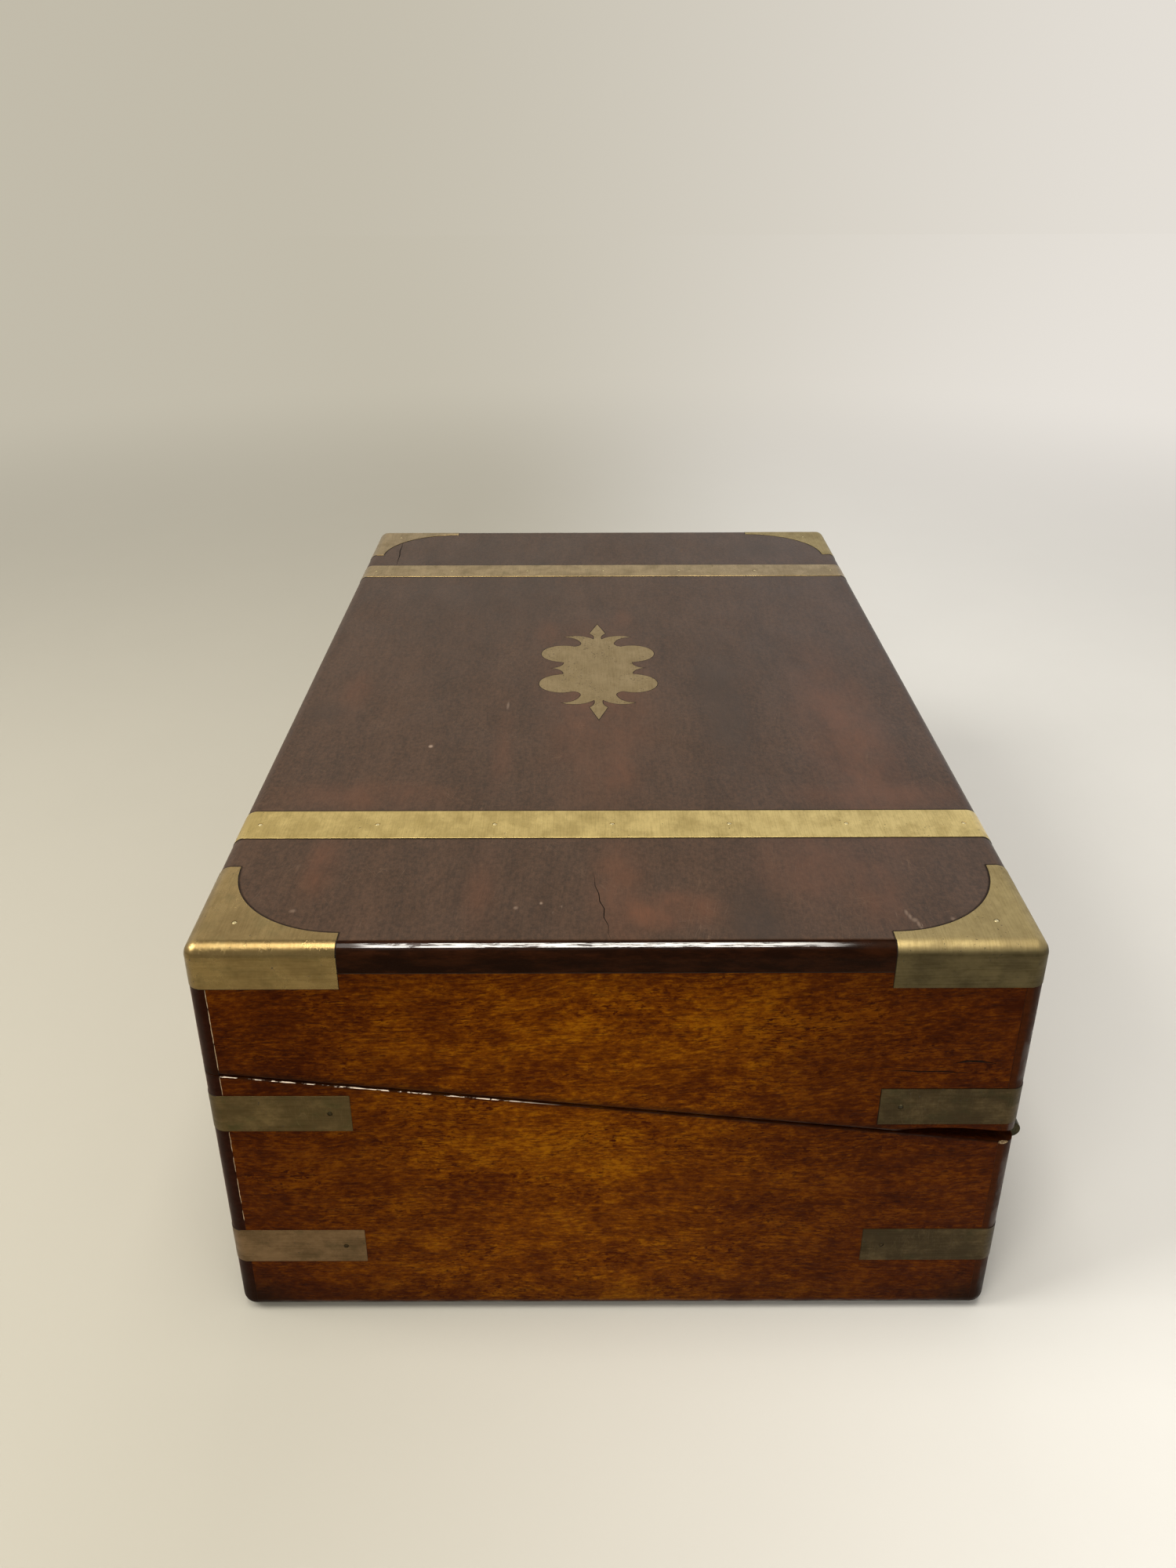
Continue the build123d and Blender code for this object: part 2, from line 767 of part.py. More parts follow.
def pen_tray():
    """Lift-out tray: a block hollowed by a long round scoop that rises at both ends."""
    near = divider_back + tray_clearance
    far = inner_half_depth - tray_clearance
    level = pen_floor_height + tray_height
    block = box_between((-tray_half_length, tray_half_length), (near, far), (pen_floor_height, level))
    middle = Pos(0, (near + far) / 2, level + scoop_radius - scoop_depth)
    run = tray_half_length - scoop_margin - (scoop_radius**2 - (scoop_radius - scoop_depth) ** 2) ** 0.5
    scoop = middle * Rot(0, 90, 0) * Cylinder(scoop_radius, 2 * run)
    for end in (-run, run):
        scoop = scoop + middle * Pos(end, 0, 0) * Sphere(scoop_radius)
    return block - scoop


bottle_y = divider_back + pen_section_depth / 2


def inkwell_bottle():
    """Square glass ink bottle on the right, with a round neck and a round hollow for the ink."""
    block = Box(bottle_side, bottle_side, bottle_height, align=(Align.CENTER, Align.CENTER, Align.MIN))
    block = fillet(block.edges().filter_by(Axis.Z), bottle_corner)
    block = chamfer(block.faces().sort_by(Axis.Z)[-1].edges(), bottle_shoulder)
    low = (Align.CENTER, Align.CENTER, Align.MIN)
    neck = Cylinder(bottle_neck_radius, bottle_height + bottle_neck_height, align=low)
    room = bottle_height - 2 * bottle_floor
    ink = Pos(0, 0, bottle_floor) * Cylinder(bottle_ink_radius, room, align=low)
    mouth = Pos(0, 0, bottle_floor) * Cylinder(bottle_bore_radius, past, align=low)
    return Pos(inkwell_x, bottle_y, pen_floor_height) * (block + neck - ink - mouth)


def inkwell_cap():
    """Round brass cap over the right-hand bottle's neck."""
    low = (Align.CENTER, Align.CENTER, Align.MIN)
    cap = Cylinder(cap_radius, cap_height, align=low)
    cap = fillet(cap.edges().sort_by(Axis.Z)[-1], cap_dome)
    cap = cap - Cylinder(bottle_neck_radius + cap_clearance, cap_height - cap_wall, align=low)
    return Pos(inkwell_x, bottle_y, pen_floor_height + bottle_height) * cap


# ---- writing out ----
right_hinge_base_leaf = hinge_leaf(-1)
right_hinge_lid_leaf = hinge_leaf(1)
right_bottle = inkwell_bottle()
right_cap = inkwell_cap()

pairs = {
    "base_{}_end": base_right_end,
    "lid_{}_end": lid_right_end,
    "{}_hinge_base_leaf": right_hinge_base_leaf,
    "{}_hinge_lid_leaf": right_hinge_lid_leaf,
    "{}_hinge_pin": hinge_pin(),
    "{}_back_upper_strap": right_back_upper_strap - base_pins,
    "{}_back_lower_strap": right_back_lower_strap - base_pins,
    "{}_front_lower_strap": right_front_lower_strap - base_pins,
    "{}_front_upper_strap": right_front_upper_strap - lid_pins,
    "{}_back_corner": right_back_corner - lid_pins,
    "{}_front_corner": right_front_corner - lid_pins,
    "{}_top_strap": right_top_strap - lid_pins,
    "{}_inkwell_bottle": right_bottle,
    "{}_inkwell_cap": right_cap,
}
nodes = {
    "base_front_board": base_front_board,
    "base_back_board": base_back_board,
    "base_bottom_board": bottom,
    "underside_baize": underside_baize(),
    "pen_section_floor": pen_section_floor(),
    "pen_section_divider": pen_section_divider(),
    "inkwell_dividers": inkwell_dividers(),
    "pen_tray": pen_tray(),
    "base_flap_ledges": flap_ledges(-1, divider_front),
    "lock_case": lock_case(),
    "lock_face_plate": lock_face_plate(),
    "keyhole_escutcheon": plate_of_escutcheon,
    "base_screws": base_screws,
    "base_strap_pins": base_pins,
    "base_flap_hinge_leaves": flap_leaves(-1, -1),
    "lock_bolt": lock_bolt(),
    "lid_top_board": lid_top_board,
    "lid_front_board": lid_front_board,
    "lid_back_board": lid_back_board,
    "top_inlay": inlay,
    "lid_strap_pins": lid_pins,
    "link_plate": link_plate(),
    "lid_screws": lid_screws,
    "lid_flap_ledges": flap_ledges(1, inner_half_depth),
    "lid_flap_hinge_leaves": flap_leaves(1, -1),
    "flap_turn_button": turn_button(),
    "base_flap_panel": flap_panel(-1, base_flap_far),
    "base_flap_leather": flap_leather(-1, base_flap_far),
    "base_flap_moving_leaves": flap_leaves(-1, 1),
    "lid_flap_panel": flap_panel(1, lid_flap_far),
    "lid_flap_leather": flap_leather(1, lid_flap_far),
    "lid_flap_moving_leaves": flap_leaves(1, 1),
}
for name, shape in pairs.items():
    nodes[name.format("right")] = shape
    nodes[name.format("left")] = mirrored(shape)

os.makedirs("parts", exist_ok=True)
for name, shape in nodes.items():
    export_step(shape, f"parts/{name}.step")
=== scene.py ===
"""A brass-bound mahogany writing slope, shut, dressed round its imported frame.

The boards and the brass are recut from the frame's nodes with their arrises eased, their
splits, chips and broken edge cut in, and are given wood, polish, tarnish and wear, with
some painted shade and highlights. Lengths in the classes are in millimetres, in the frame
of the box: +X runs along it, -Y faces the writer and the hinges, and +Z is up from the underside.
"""

from __future__ import annotations

import json
import logging
import math
from collections.abc import Callable, Mapping, Sequence
from dataclasses import dataclass, field
from enum import Enum
from typing import Any

import bmesh
import bpy
from mathutils import Matrix, Vector, noise

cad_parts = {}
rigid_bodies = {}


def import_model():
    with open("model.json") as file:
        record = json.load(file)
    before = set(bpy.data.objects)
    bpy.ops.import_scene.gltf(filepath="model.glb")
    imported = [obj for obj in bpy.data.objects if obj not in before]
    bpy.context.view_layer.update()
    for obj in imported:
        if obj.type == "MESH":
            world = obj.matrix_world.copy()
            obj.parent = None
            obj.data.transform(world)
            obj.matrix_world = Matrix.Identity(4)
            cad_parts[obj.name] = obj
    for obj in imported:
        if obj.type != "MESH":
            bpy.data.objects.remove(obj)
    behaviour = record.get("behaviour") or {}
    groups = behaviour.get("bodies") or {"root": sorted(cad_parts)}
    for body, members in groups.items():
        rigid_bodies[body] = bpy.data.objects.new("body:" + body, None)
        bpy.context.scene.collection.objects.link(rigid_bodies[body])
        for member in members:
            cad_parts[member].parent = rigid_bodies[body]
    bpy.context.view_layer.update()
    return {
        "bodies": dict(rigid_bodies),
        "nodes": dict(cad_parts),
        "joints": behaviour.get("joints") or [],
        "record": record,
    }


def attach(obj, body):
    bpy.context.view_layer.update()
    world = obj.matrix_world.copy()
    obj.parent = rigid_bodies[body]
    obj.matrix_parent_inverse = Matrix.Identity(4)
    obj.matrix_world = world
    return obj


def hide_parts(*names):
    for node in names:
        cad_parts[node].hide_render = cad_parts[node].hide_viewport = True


log = logging.getLogger("writing_slope")

MM = 0.001
WHITE = (1.0, 1.0, 1.0)
Colour = tuple[float, float, float]
Point = tuple[float, float, float]
Ring = list[bmesh.types.BMVert]


# ---------------------------------------------------------------- shader trees


def is_triple(value: Any) -> bool:
    """Whether a value or a signal carries three numbers."""
    if isinstance(value, Signal):
        return value.socket.type in ("VECTOR", "RGBA")
    return not isinstance(value, (int, float))


def reckoning(operation: str, swapped: bool = False) -> Callable[..., Signal]:
    """Make a method that adds one Math or Vector Math node.

    Args:
        operation: The node's operation.
        swapped: Whether the other value comes first.

    Returns:
        The method.
    """

    def method(self: Signal, other: Any = 0.0) -> Signal:
        """Reckon with a signal, a number or a triple."""
        first, second = (other, self) if swapped else (self, other)
        kind = "VectorMath" if is_triple(first) or is_triple(second) else "Math"
        return self.tree.add(kind, {0: first, 1: second}, operation=operation)

    return method


class Signal:
    """A socket of a finish's tree. Reckoning with it in Python adds the nodes for it."""

    def __init__(self, tree: Tree, socket: bpy.types.NodeSocket) -> None:
        """Wrap an output socket of a tree."""
        self.tree = tree
        self.socket = socket

    __add__ = __radd__ = reckoning("ADD")
    __sub__ = reckoning("SUBTRACT")
    __rsub__ = reckoning("SUBTRACT", swapped=True)
    __mul__ = __rmul__ = reckoning("MULTIPLY")
    __truediv__ = reckoning("DIVIDE")
    __pow__ = reckoning("POWER")
    __abs__ = reckoning("ABSOLUTE")
    least = reckoning("MINIMUM")
    most = reckoning("MAXIMUM")

    def ease(self, low: float, high: float) -> Signal:
        """Smooth step.

        Args:
            low: Where the step begins; it may lie above high, for a step that falls.
            high: Where the step ends.

        Returns:
            The eased value, from 0 at low to 1 at high.
        """
        (low, start), (high, end) = sorted(((low, 0.0), (high, 1.0)))
        limits = {"From Min": low, "From Max": high, "To Min": start, "To Max": end}
        return self.tree.add("MapRange", {"Value": self, **limits}, interpolation_type="SMOOTHSTEP")

    def part(self, axis: int) -> Signal:
        """One of the three numbers."""
        return self.tree.add("SeparateXYZ", {0: self}, axis)

    @property
    def x(self) -> Signal:
        """The first of the three numbers."""
        return self.part(0)

    @property
    def y(self) -> Signal:
        """The second of the three numbers."""
        return self.part(1)

    @property
    def z(self) -> Signal:
        """The third of the three numbers."""
        return self.part(2)

    def length(self) -> Signal:
        """How long the triple is as a vector."""
        return self.tree.add("VectorMath", {0: self}, "Value", operation="LENGTH")


class Tree:
    """A finish's or a sky's node tree, with one method that adds any node to it."""

    def __init__(self, name: str, seed: float = 0.0, owner: bpy.types.World | None = None) -> None:
        """Start an empty tree.

        Args:
            name: The finish's name.
            seed: Moves all its random fields.
            owner: A world whose tree it is, where it isn't a material's.
        """
        self.material = owner or bpy.data.materials.new(name)
        self.material.use_nodes = True
        self.seed = seed
        self.nodes = self.material.node_tree.nodes
        self.links = self.material.node_tree.links
        self.nodes.clear()
        self.found: dict[str, Signal] = {}

    def add(
        self,
        kind: str,
        inputs: Mapping[Any, Any] | None = None,
        output: int | str = 0,
        **settings: Any,
    ) -> Signal:
        """Add a node.

        Args:
            kind: The node's type.
            inputs: Values or signals of its sockets, by name or number.
            output: The socket that is handed back, by name or number.
            settings: Its own settings, which are made first.

        Returns:
            One output of the node.
        """
        node = self.nodes.new(f"ShaderNode{kind}")
        for key, value in settings.items():
            setattr(node, key, value)
        for key, value in (inputs or {}).items():
            socket = node.inputs[key]
            if isinstance(value, Signal):
                self.links.new(value.socket, socket)
            elif socket.type in ("RGBA", "VECTOR"):
                triple = tuple(value) if is_triple(value) else (value,) * 3
                socket.default_value = (*triple, 1.0) if socket.type == "RGBA" else triple
            else:
                socket.default_value = value
        return Signal(self, node.outputs[output])

    def coordinate(self, output: str) -> Signal:
        """One output of the Texture Coordinate node, which is added once for each."""
        if output not in self.found:
            self.found[output] = self.add("TexCoord", output=output)
        return self.found[output]

    @property
    def place(self) -> Signal:
        """Where a point of the piece lies, in millimetres."""
        return self.coordinate("Object") * (1 / MM)

    @property
    def facing(self) -> Signal:
        """The way the piece's surface faces, in its own frame."""
        return self.coordinate("Normal")

    def rounded(self) -> Signal:
        """1 on a rounded arris, 0 on faces that lie square to the box."""
        flat = abs(self.facing.x).most(abs(self.facing.y)).most(abs(self.facing.z))
        return flat.ease(0.988, 0.94)

    def cloud(
        self,
        size: float | Point,
        shift: float = 0.0,
        detail: float = 3.0,
        rough: float = 0.5,
        where: Signal | None = None,
    ) -> Signal:
        """Soft random field from 0 to 1.

        Args:
            size: How far its lumps reach, at all or along X, Y and Z, in millimetres.
            shift: Added to the tree's seed, so that two fields of one size differ.
            detail: How many finer layers it has.
            rough: How strong the finer layers are.
            where: Place in millimetres, where it isn't the piece's own.

        Returns:
            The field.
        """
        sizes = size if is_triple(size) else (size,) * 3
        seed = self.seed + shift
        stretched = (where or self.place) * tuple(1 / s for s in sizes)
        moved = stretched + (seed, seed * 1.7, seed * 2.3)
        inputs = {"Vector": moved, "Scale": 1.0, "Detail": detail, "Roughness": rough}
        return self.add("TexNoise", inputs, noise_dimensions="3D")

    def hairlines(self, size: Point, shift: float, width: float, degrees: float = 0.0) -> Signal:
        """Long thin scratches, 1 on a scratch: the contour of a stretched field.

        Args:
            size: How far the field's lumps reach along X, Y and Z.
            shift: Added to the tree's seed.
            width: How wide the contour is, as a share of the field.
            degrees: How far the scratches are turned about Z.

        Returns:
            The mask of the scratches.
        """
        where = self.place
        if degrees:
            turn = {"Vector": where, "Angle": math.radians(degrees)}
            where = self.add("VectorRotate", turn, rotation_type="Z_AXIS")
        return abs(self.cloud(size, shift, 1.0, 0.4, where) - 0.5).ease(width, 0.0)

    def mix(self, share: Any, first: Any, second: Any) -> Signal:
        """Mix two colours, with a share of the second that is held between 0 and 1."""
        return self.add("Mix", {0: share, 6: first, 7: second}, 2, data_type="RGBA")

    def bump(self, height: Signal, depth: float, beneath: Signal | None = None) -> Signal:
        """Normal bent by a height.

        Args:
            height: The height, from 0 to 1.
            depth: What a height of 1 stands for, in millimetres.
            beneath: A normal that it is laid over.

        Returns:
            The bent normal.
        """
        inputs = {"Height": height, "Distance": depth * MM, "Strength": 1.0}
        if beneath is not None:
            inputs["Normal"] = beneath
        return self.add("Bump", inputs)

    def show(self, shader: Signal, kind: str = "Material") -> None:
        """Lead a shader to the tree's output."""
        output = self.nodes.new(f"ShaderNodeOutput{kind}")
        self.links.new(shader.socket, output.inputs["Surface"])

    def seen(self, *rays: str) -> Signal:
        """1 for rays of one or two kinds, as the Light Path node calls them."""
        found = [self.add("LightPath", output=ray) for ray in rays]
        return found[0].most(found[-1])


# ---------------------------------------------------------------- the box's plan


@dataclass(frozen=True)
class BoxPlan:
    """Main sizes of the shut box, in millimetres."""

    length: float = 410.0
    depth: float = 250.0
    height: float = 148.0
    hinge_y: float = -125.3
    hinge_z: float = 74.0
    back_rim: float = 102.0
    strap_middle: float = 133.5
    strap_width: float = 18.2
    hollow_x: float = 160.5
    hollow_y: float = 80.5
    hollow_radius: float = 37.0
    leather_near: float = 26.68
    leather_half_length: float = 180.4

    @property
    def slope(self) -> float:
        """Angle of the rim, in radians."""
        return math.atan2(self.back_rim - self.hinge_z, self.depth / 2 - self.hinge_y)

    def over_rim(self, y: Any, z: Any) -> Any:
        """How far above the rim a place lies, squarely out of it, in millimetres."""
        return (z - self.hinge_z) * math.cos(self.slope) - (y - self.hinge_y) * math.sin(self.slope)

    def up_rim(self, y: Any, z: Any) -> Any:
        """How far up the slope from the hinges a place lies, in millimetres."""
        return (y - self.hinge_y) * math.cos(self.slope) + (z - self.hinge_z) * math.sin(self.slope)

    def depth_under(self, point: Vector) -> float:
        """How deep a point in metres lies under the nearest side, end or top, in millimetres."""
        x, y, z = point / MM
        return min(self.length / 2 - abs(x), self.depth / 2 - abs(y), self.height - z)

    def rim_point(self, x: float, along: float, out: float) -> Vector:
        """Point in metres from its place in the rim's own frame.

        Args:
            x: Along the box.
            along: Up the slope from the hinge axis.
            out: Squarely out of the rim.

        Returns:
            The point.
        """
        cosine, sine = math.cos(self.slope), math.sin(self.slope)
        y = self.hinge_y + along * cosine - out * sine
        return Vector((x, y, self.hinge_z + along * sine + out * cosine)) * MM


PLAN = BoxPlan()


# ---------------------------------------------------------------- finishes


@dataclass(frozen=True)
class Finish:
    """A finish, whose random fields are all moved by its seed."""

    name: str
    seed: float = 0.0

    def build(self) -> bpy.types.Material:
        """Make the finish as a material of one Principled shader."""
        tree = Tree(self.name, self.seed)
        tree.show(tree.add("BsdfPrincipled", self.paint(tree)))
        return tree.material

    def paint(self, tree: Tree) -> dict[str, Any]:
        """Values and signals of the shader's sockets."""
        raise NotImplementedError


class Grain(Enum):
    """The way a board's fibres run."""

    ALONG = 0
    ACROSS = 1

    def size(self, long: float, wide: float) -> Point:
        """Size of a lump that is long with the fibres and wide across them."""
        return (long, wide, wide) if self is Grain.ALONG else (wide, long, wide)


@dataclass(frozen=True)
class Patch:
    """Soft oval patch on the lid, in millimetres from its middle."""

    x: float
    y: float
    half_length: float
    half_width: float
    strength: float

    def mask(self, where: Signal) -> Signal:
        """How strongly a place lies in the patch."""
        offset = (where - (self.x, self.y, 0.0)) * (1 / self.half_length, 1 / self.half_width, 0.0)
        return offset.length().ease(1.0, 0.15) * self.strength


@dataclass(frozen=True)
class Patches:
    """Patches of one kind, as rows of each one's five numbers."""

    rows: tuple[tuple[float, ...], ...]

    def mask(self, where: Signal) -> Signal:
        """How strongly a place lies in the strongest of the patches.

        Args:
            where: The place, in millimetres.

        Returns:
            The strength.
        """
        masks = [Patch(*row).mask(where) for row in self.rows]
        total = masks[0]
        for mask in masks[1:]:
            total = total.most(mask)
        return total


@dataclass(frozen=True)
class Mahogany(Finish):
    """French-polished mahogany: figure, fine lines, short dark flecks, open pores and dirt, with
    painted shade and painted highlights.
    """

    grain: Grain = Grain.ALONG
    dark: Colour = (0.056, 0.0098, 0.0004)
    middle: Colour = (0.142, 0.0365, 0.0006)
    light: Colour = (0.262, 0.0900, 0.0014)
    pore: Colour = (0.022, 0.0046, 0.0010)
    end: Colour = (0.040, 0.0125, 0.0040)
    # Near-black colour of the dirt and of the painted shade at the foot and the rim.
    soil_and_shade: Colour = (0.0090, 0.0028, 0.0012)
    shade: Colour = (0.48, 0.37, 0.6)
    fleck: Colour = (0.036, 0.0044, 0.0003)
    # Colour of the painted highlight dashes on the base's upper arris.
    highlight_dash_colour: Colour = (0.80, 0.66, 0.52)
    gleam: Colour = (1.0, 0.55, 0.20)
    polish: float = 0.3
    gloss: float = 0.05
    arris_coat: float = 0.0
    lean: float = 0.0
    # Scales the dirt, the painted shade at the foot and the rim, and the darkening towards the
    # sides.
    dirt: float = 1.0
    pale_middle: float = 12.0
    highlight_dash_strength: float = 0.0
    ring_depth: float = 1.0

    def paint(self, tree: Tree) -> dict[str, Any]:
        """Lay pores, end grain, dirt, painted shade, painted highlight dashes and polish over the
        clean wood.

        Args:
            tree: The finish's tree.

        Returns:
            Values and signals of the shader's sockets.
        """
        where = self.with_grain(tree)
        pores = tree.cloud(self.grain.size(5.0, 0.3), 5.0, 1.0, where=where).ease(0.61, 0.68)
        colour = tree.mix(pores * 0.6, self.wood(tree, where), self.pore)
        across_grain = abs(tree.facing.part(self.grain.value)).ease(0.45, 0.85)
        rings = tree.cloud((3.0, 3.0, 1.2), 6.0, 4.0, 0.7).ease(0.3, 0.7)
        rings = 1.0 - (1.0 - rings) * self.ring_depth
        colour = tree.mix(across_grain, colour, tree.mix(rings, self.pore, self.end))
        colour = colour * tree.mix(self.sides(tree) * self.dirt, WHITE, self.shade)
        # Dirt and painted shade (the foot's contact shadow and the rim's joint), laid in a
        # near-black colour.
        grime_and_shade = self.grime_and_shade(tree) * self.dirt
        colour = tree.mix(grime_and_shade.least(0.95), colour, self.soil_and_shade)
        # Painted highlight: pale dashes along the base's upper arris.
        if self.highlight_dash_strength:
            colour = tree.mix(self.painted_highlight_dashes(tree) * self.highlight_dash_strength, colour, self.highlight_dash_colour)
        fine = tree.cloud(1.6, 8.0, 2.0)
        normal = tree.bump(tree.cloud(self.grain.size(34.0, 12.0), 7.0, 2.0), 0.35)
        worn = tree.cloud(9.0, 12.0, 3.0, 0.6).ease(0.4, 0.62)
        rough = pores * 0.2 + grime_and_shade * 0.15 + fine * 0.12 + (self.polish - 0.05)
        return {
            "Base Color": colour,
            "Roughness": rough.least(0.9),
            "Normal": tree.bump(1.0 - pores * 0.8 + fine * 0.25, 0.03, normal),
            "Specular IOR Level": self.gloss,
            "Specular Tint": self.gleam,
            "Coat Weight": tree.rounded() * worn * self.arris_coat,
            "Coat Roughness": 0.16,
        }

    def with_grain(self, tree: Tree) -> Signal:
        """Place bent so that the grain sways, and leans more towards the top of a board.

        Args:
            tree: The finish's tree.

        Returns:
            The bent place, in millimetres.
        """
        sway = tree.cloud(self.grain.size(48.0, 30.0), 9.0, 1.0) - 0.5
        lean = tree.place.z.ease(25.0, 125.0) * self.lean
        return tree.place + (sway * 8.0 + tree.place.y * lean) * (0.0, 0.0, 1.0)

    def wood(self, tree: Tree, where: Signal) -> Signal:
        """Colour of the clean wood.

        Args:
            tree: The finish's tree.
            where: Place bent by the grain.

        Returns:
            The colour.
        """
        size = self.grain.size
        figure = tree.cloud(size(64.0, 24.0), 0.0, 2.0, where=where)
        lines = tree.cloud(size(13.0, 0.6), 1.0, 4.0, 0.7, where)
        mottle = tree.cloud(size(3.0, 1.2), 2.0, 4.0, 0.75, where)
        smudge = tree.cloud((10.0, 10.0, 6.0), 16.0, 4.0, 0.65)
        tone = (figure * 0.35 + lines * 0.36 + mottle * 0.8 + smudge * 0.6 - 0.57).ease(0.26, 0.78)
        colour = tree.mix(tone * 2.0, self.dark, self.middle)
        colour = tree.mix(tone * 2.0 - 1.0, colour, self.light)
        region = tree.cloud(size(34.0, 17.0), 4.0, 2.0).ease(0.32, 0.66) * 0.85 + 0.15
        for long, wide, shift in ((2.2, 0.6, 3.0), (5.0, 0.6, 14.0), (2.4, 1.5, 19.0)):
            flecks = tree.cloud(size(long, wide), shift, 3.0, 0.6, where).ease(0.56, 0.7)
            colour = tree.mix(flecks * region, colour, self.fleck)
        return colour

    def grime_and_shade(self, tree: Tree) -> Signal:
        """Dirt and old polish, darker towards the box's edges and beside the split, with painted
        shade: a dark line along the foot where the box meets the floor, and dark meeting faces at
        the rim.

        Args:
            tree: The finish's tree.

        Returns:
            How dark it is.
        """
        x, y, z = tree.place.x, tree.place.y, tree.place.z
        ragged = (tree.cloud((22.0, 22.0, 15.0), 11.0, 4.0, 0.65) - 0.5) * 30.0
        over = PLAN.over_rim(y, z) + ragged * 0.03
        ends = (abs(x) + ragged).ease(PLAN.length / 2 - 16.0, PLAN.length / 2 + 18.0)
        low = (z + ragged * 0.4).ease(19.0, -3.0)
        high = (z + ragged * 0.3).ease(126.0, 141.0)
        split = over.ease(3.8, 0.7) * over.ease(-1.7, 0.0)
        # Painted shade: the rim's meeting faces are darkened so that the shut joint reads dark.
        rim = abs(over).ease(0.9, 0.4) * abs(tree.facing.z).ease(0.9, 0.98)
        corner = (z + ragged * 0.5).ease(26.0, 3.0) * (abs(y) + ragged * 0.4).ease(98.0, 121.0)
        dirty = ends * 0.08 + low * 0.4 + high * 0.2 + split * 0.62 + corner * 0.7
        # Painted shadow: a dark line along the foot where the box meets the floor; rounded arrises
        # are dirtier.
        dirty = dirty + z.ease(2.3, 1.0) * 0.95 + tree.rounded() * 0.4
        return dirty.most(rim * 0.55)

    def sides(self, tree: Tree) -> Signal:
        """How much darker the polish has gone towards the box's front and back."""
        uneven = (tree.cloud((26.0, 26.0, 20.0), 17.0, 4.0, 0.65) - 0.5) * 60.0
        return (abs(tree.place.y - self.pale_middle) + uneven).ease(14.0, PLAN.depth / 2 - 20.0)

    def painted_highlight_dashes(self, tree: Tree) -> Signal:
        """Painted highlight: pale dashes along the base's upper arris, towards the back, where the
        arris catches the light.

        Args:
            tree: The finish's tree.

        Returns:
            1 on a dash.
        """
        y, z = tree.place.y, tree.place.z
        thick = tree.cloud((2.0, 3.0, 2.0), 18.0, 2.0) * 0.28 - 0.04
        line = (abs(PLAN.over_rim(y, z) + 0.36) - thick).ease(0.06, -0.02)
        dashes = tree.cloud((1.5, 5.0, 1.5), 15.0, 3.0, 0.7).ease(0.46, 0.52)
        return line * dashes * y.ease(14.0, 40.0) * tree.facing.x.ease(-0.15, -0.5)


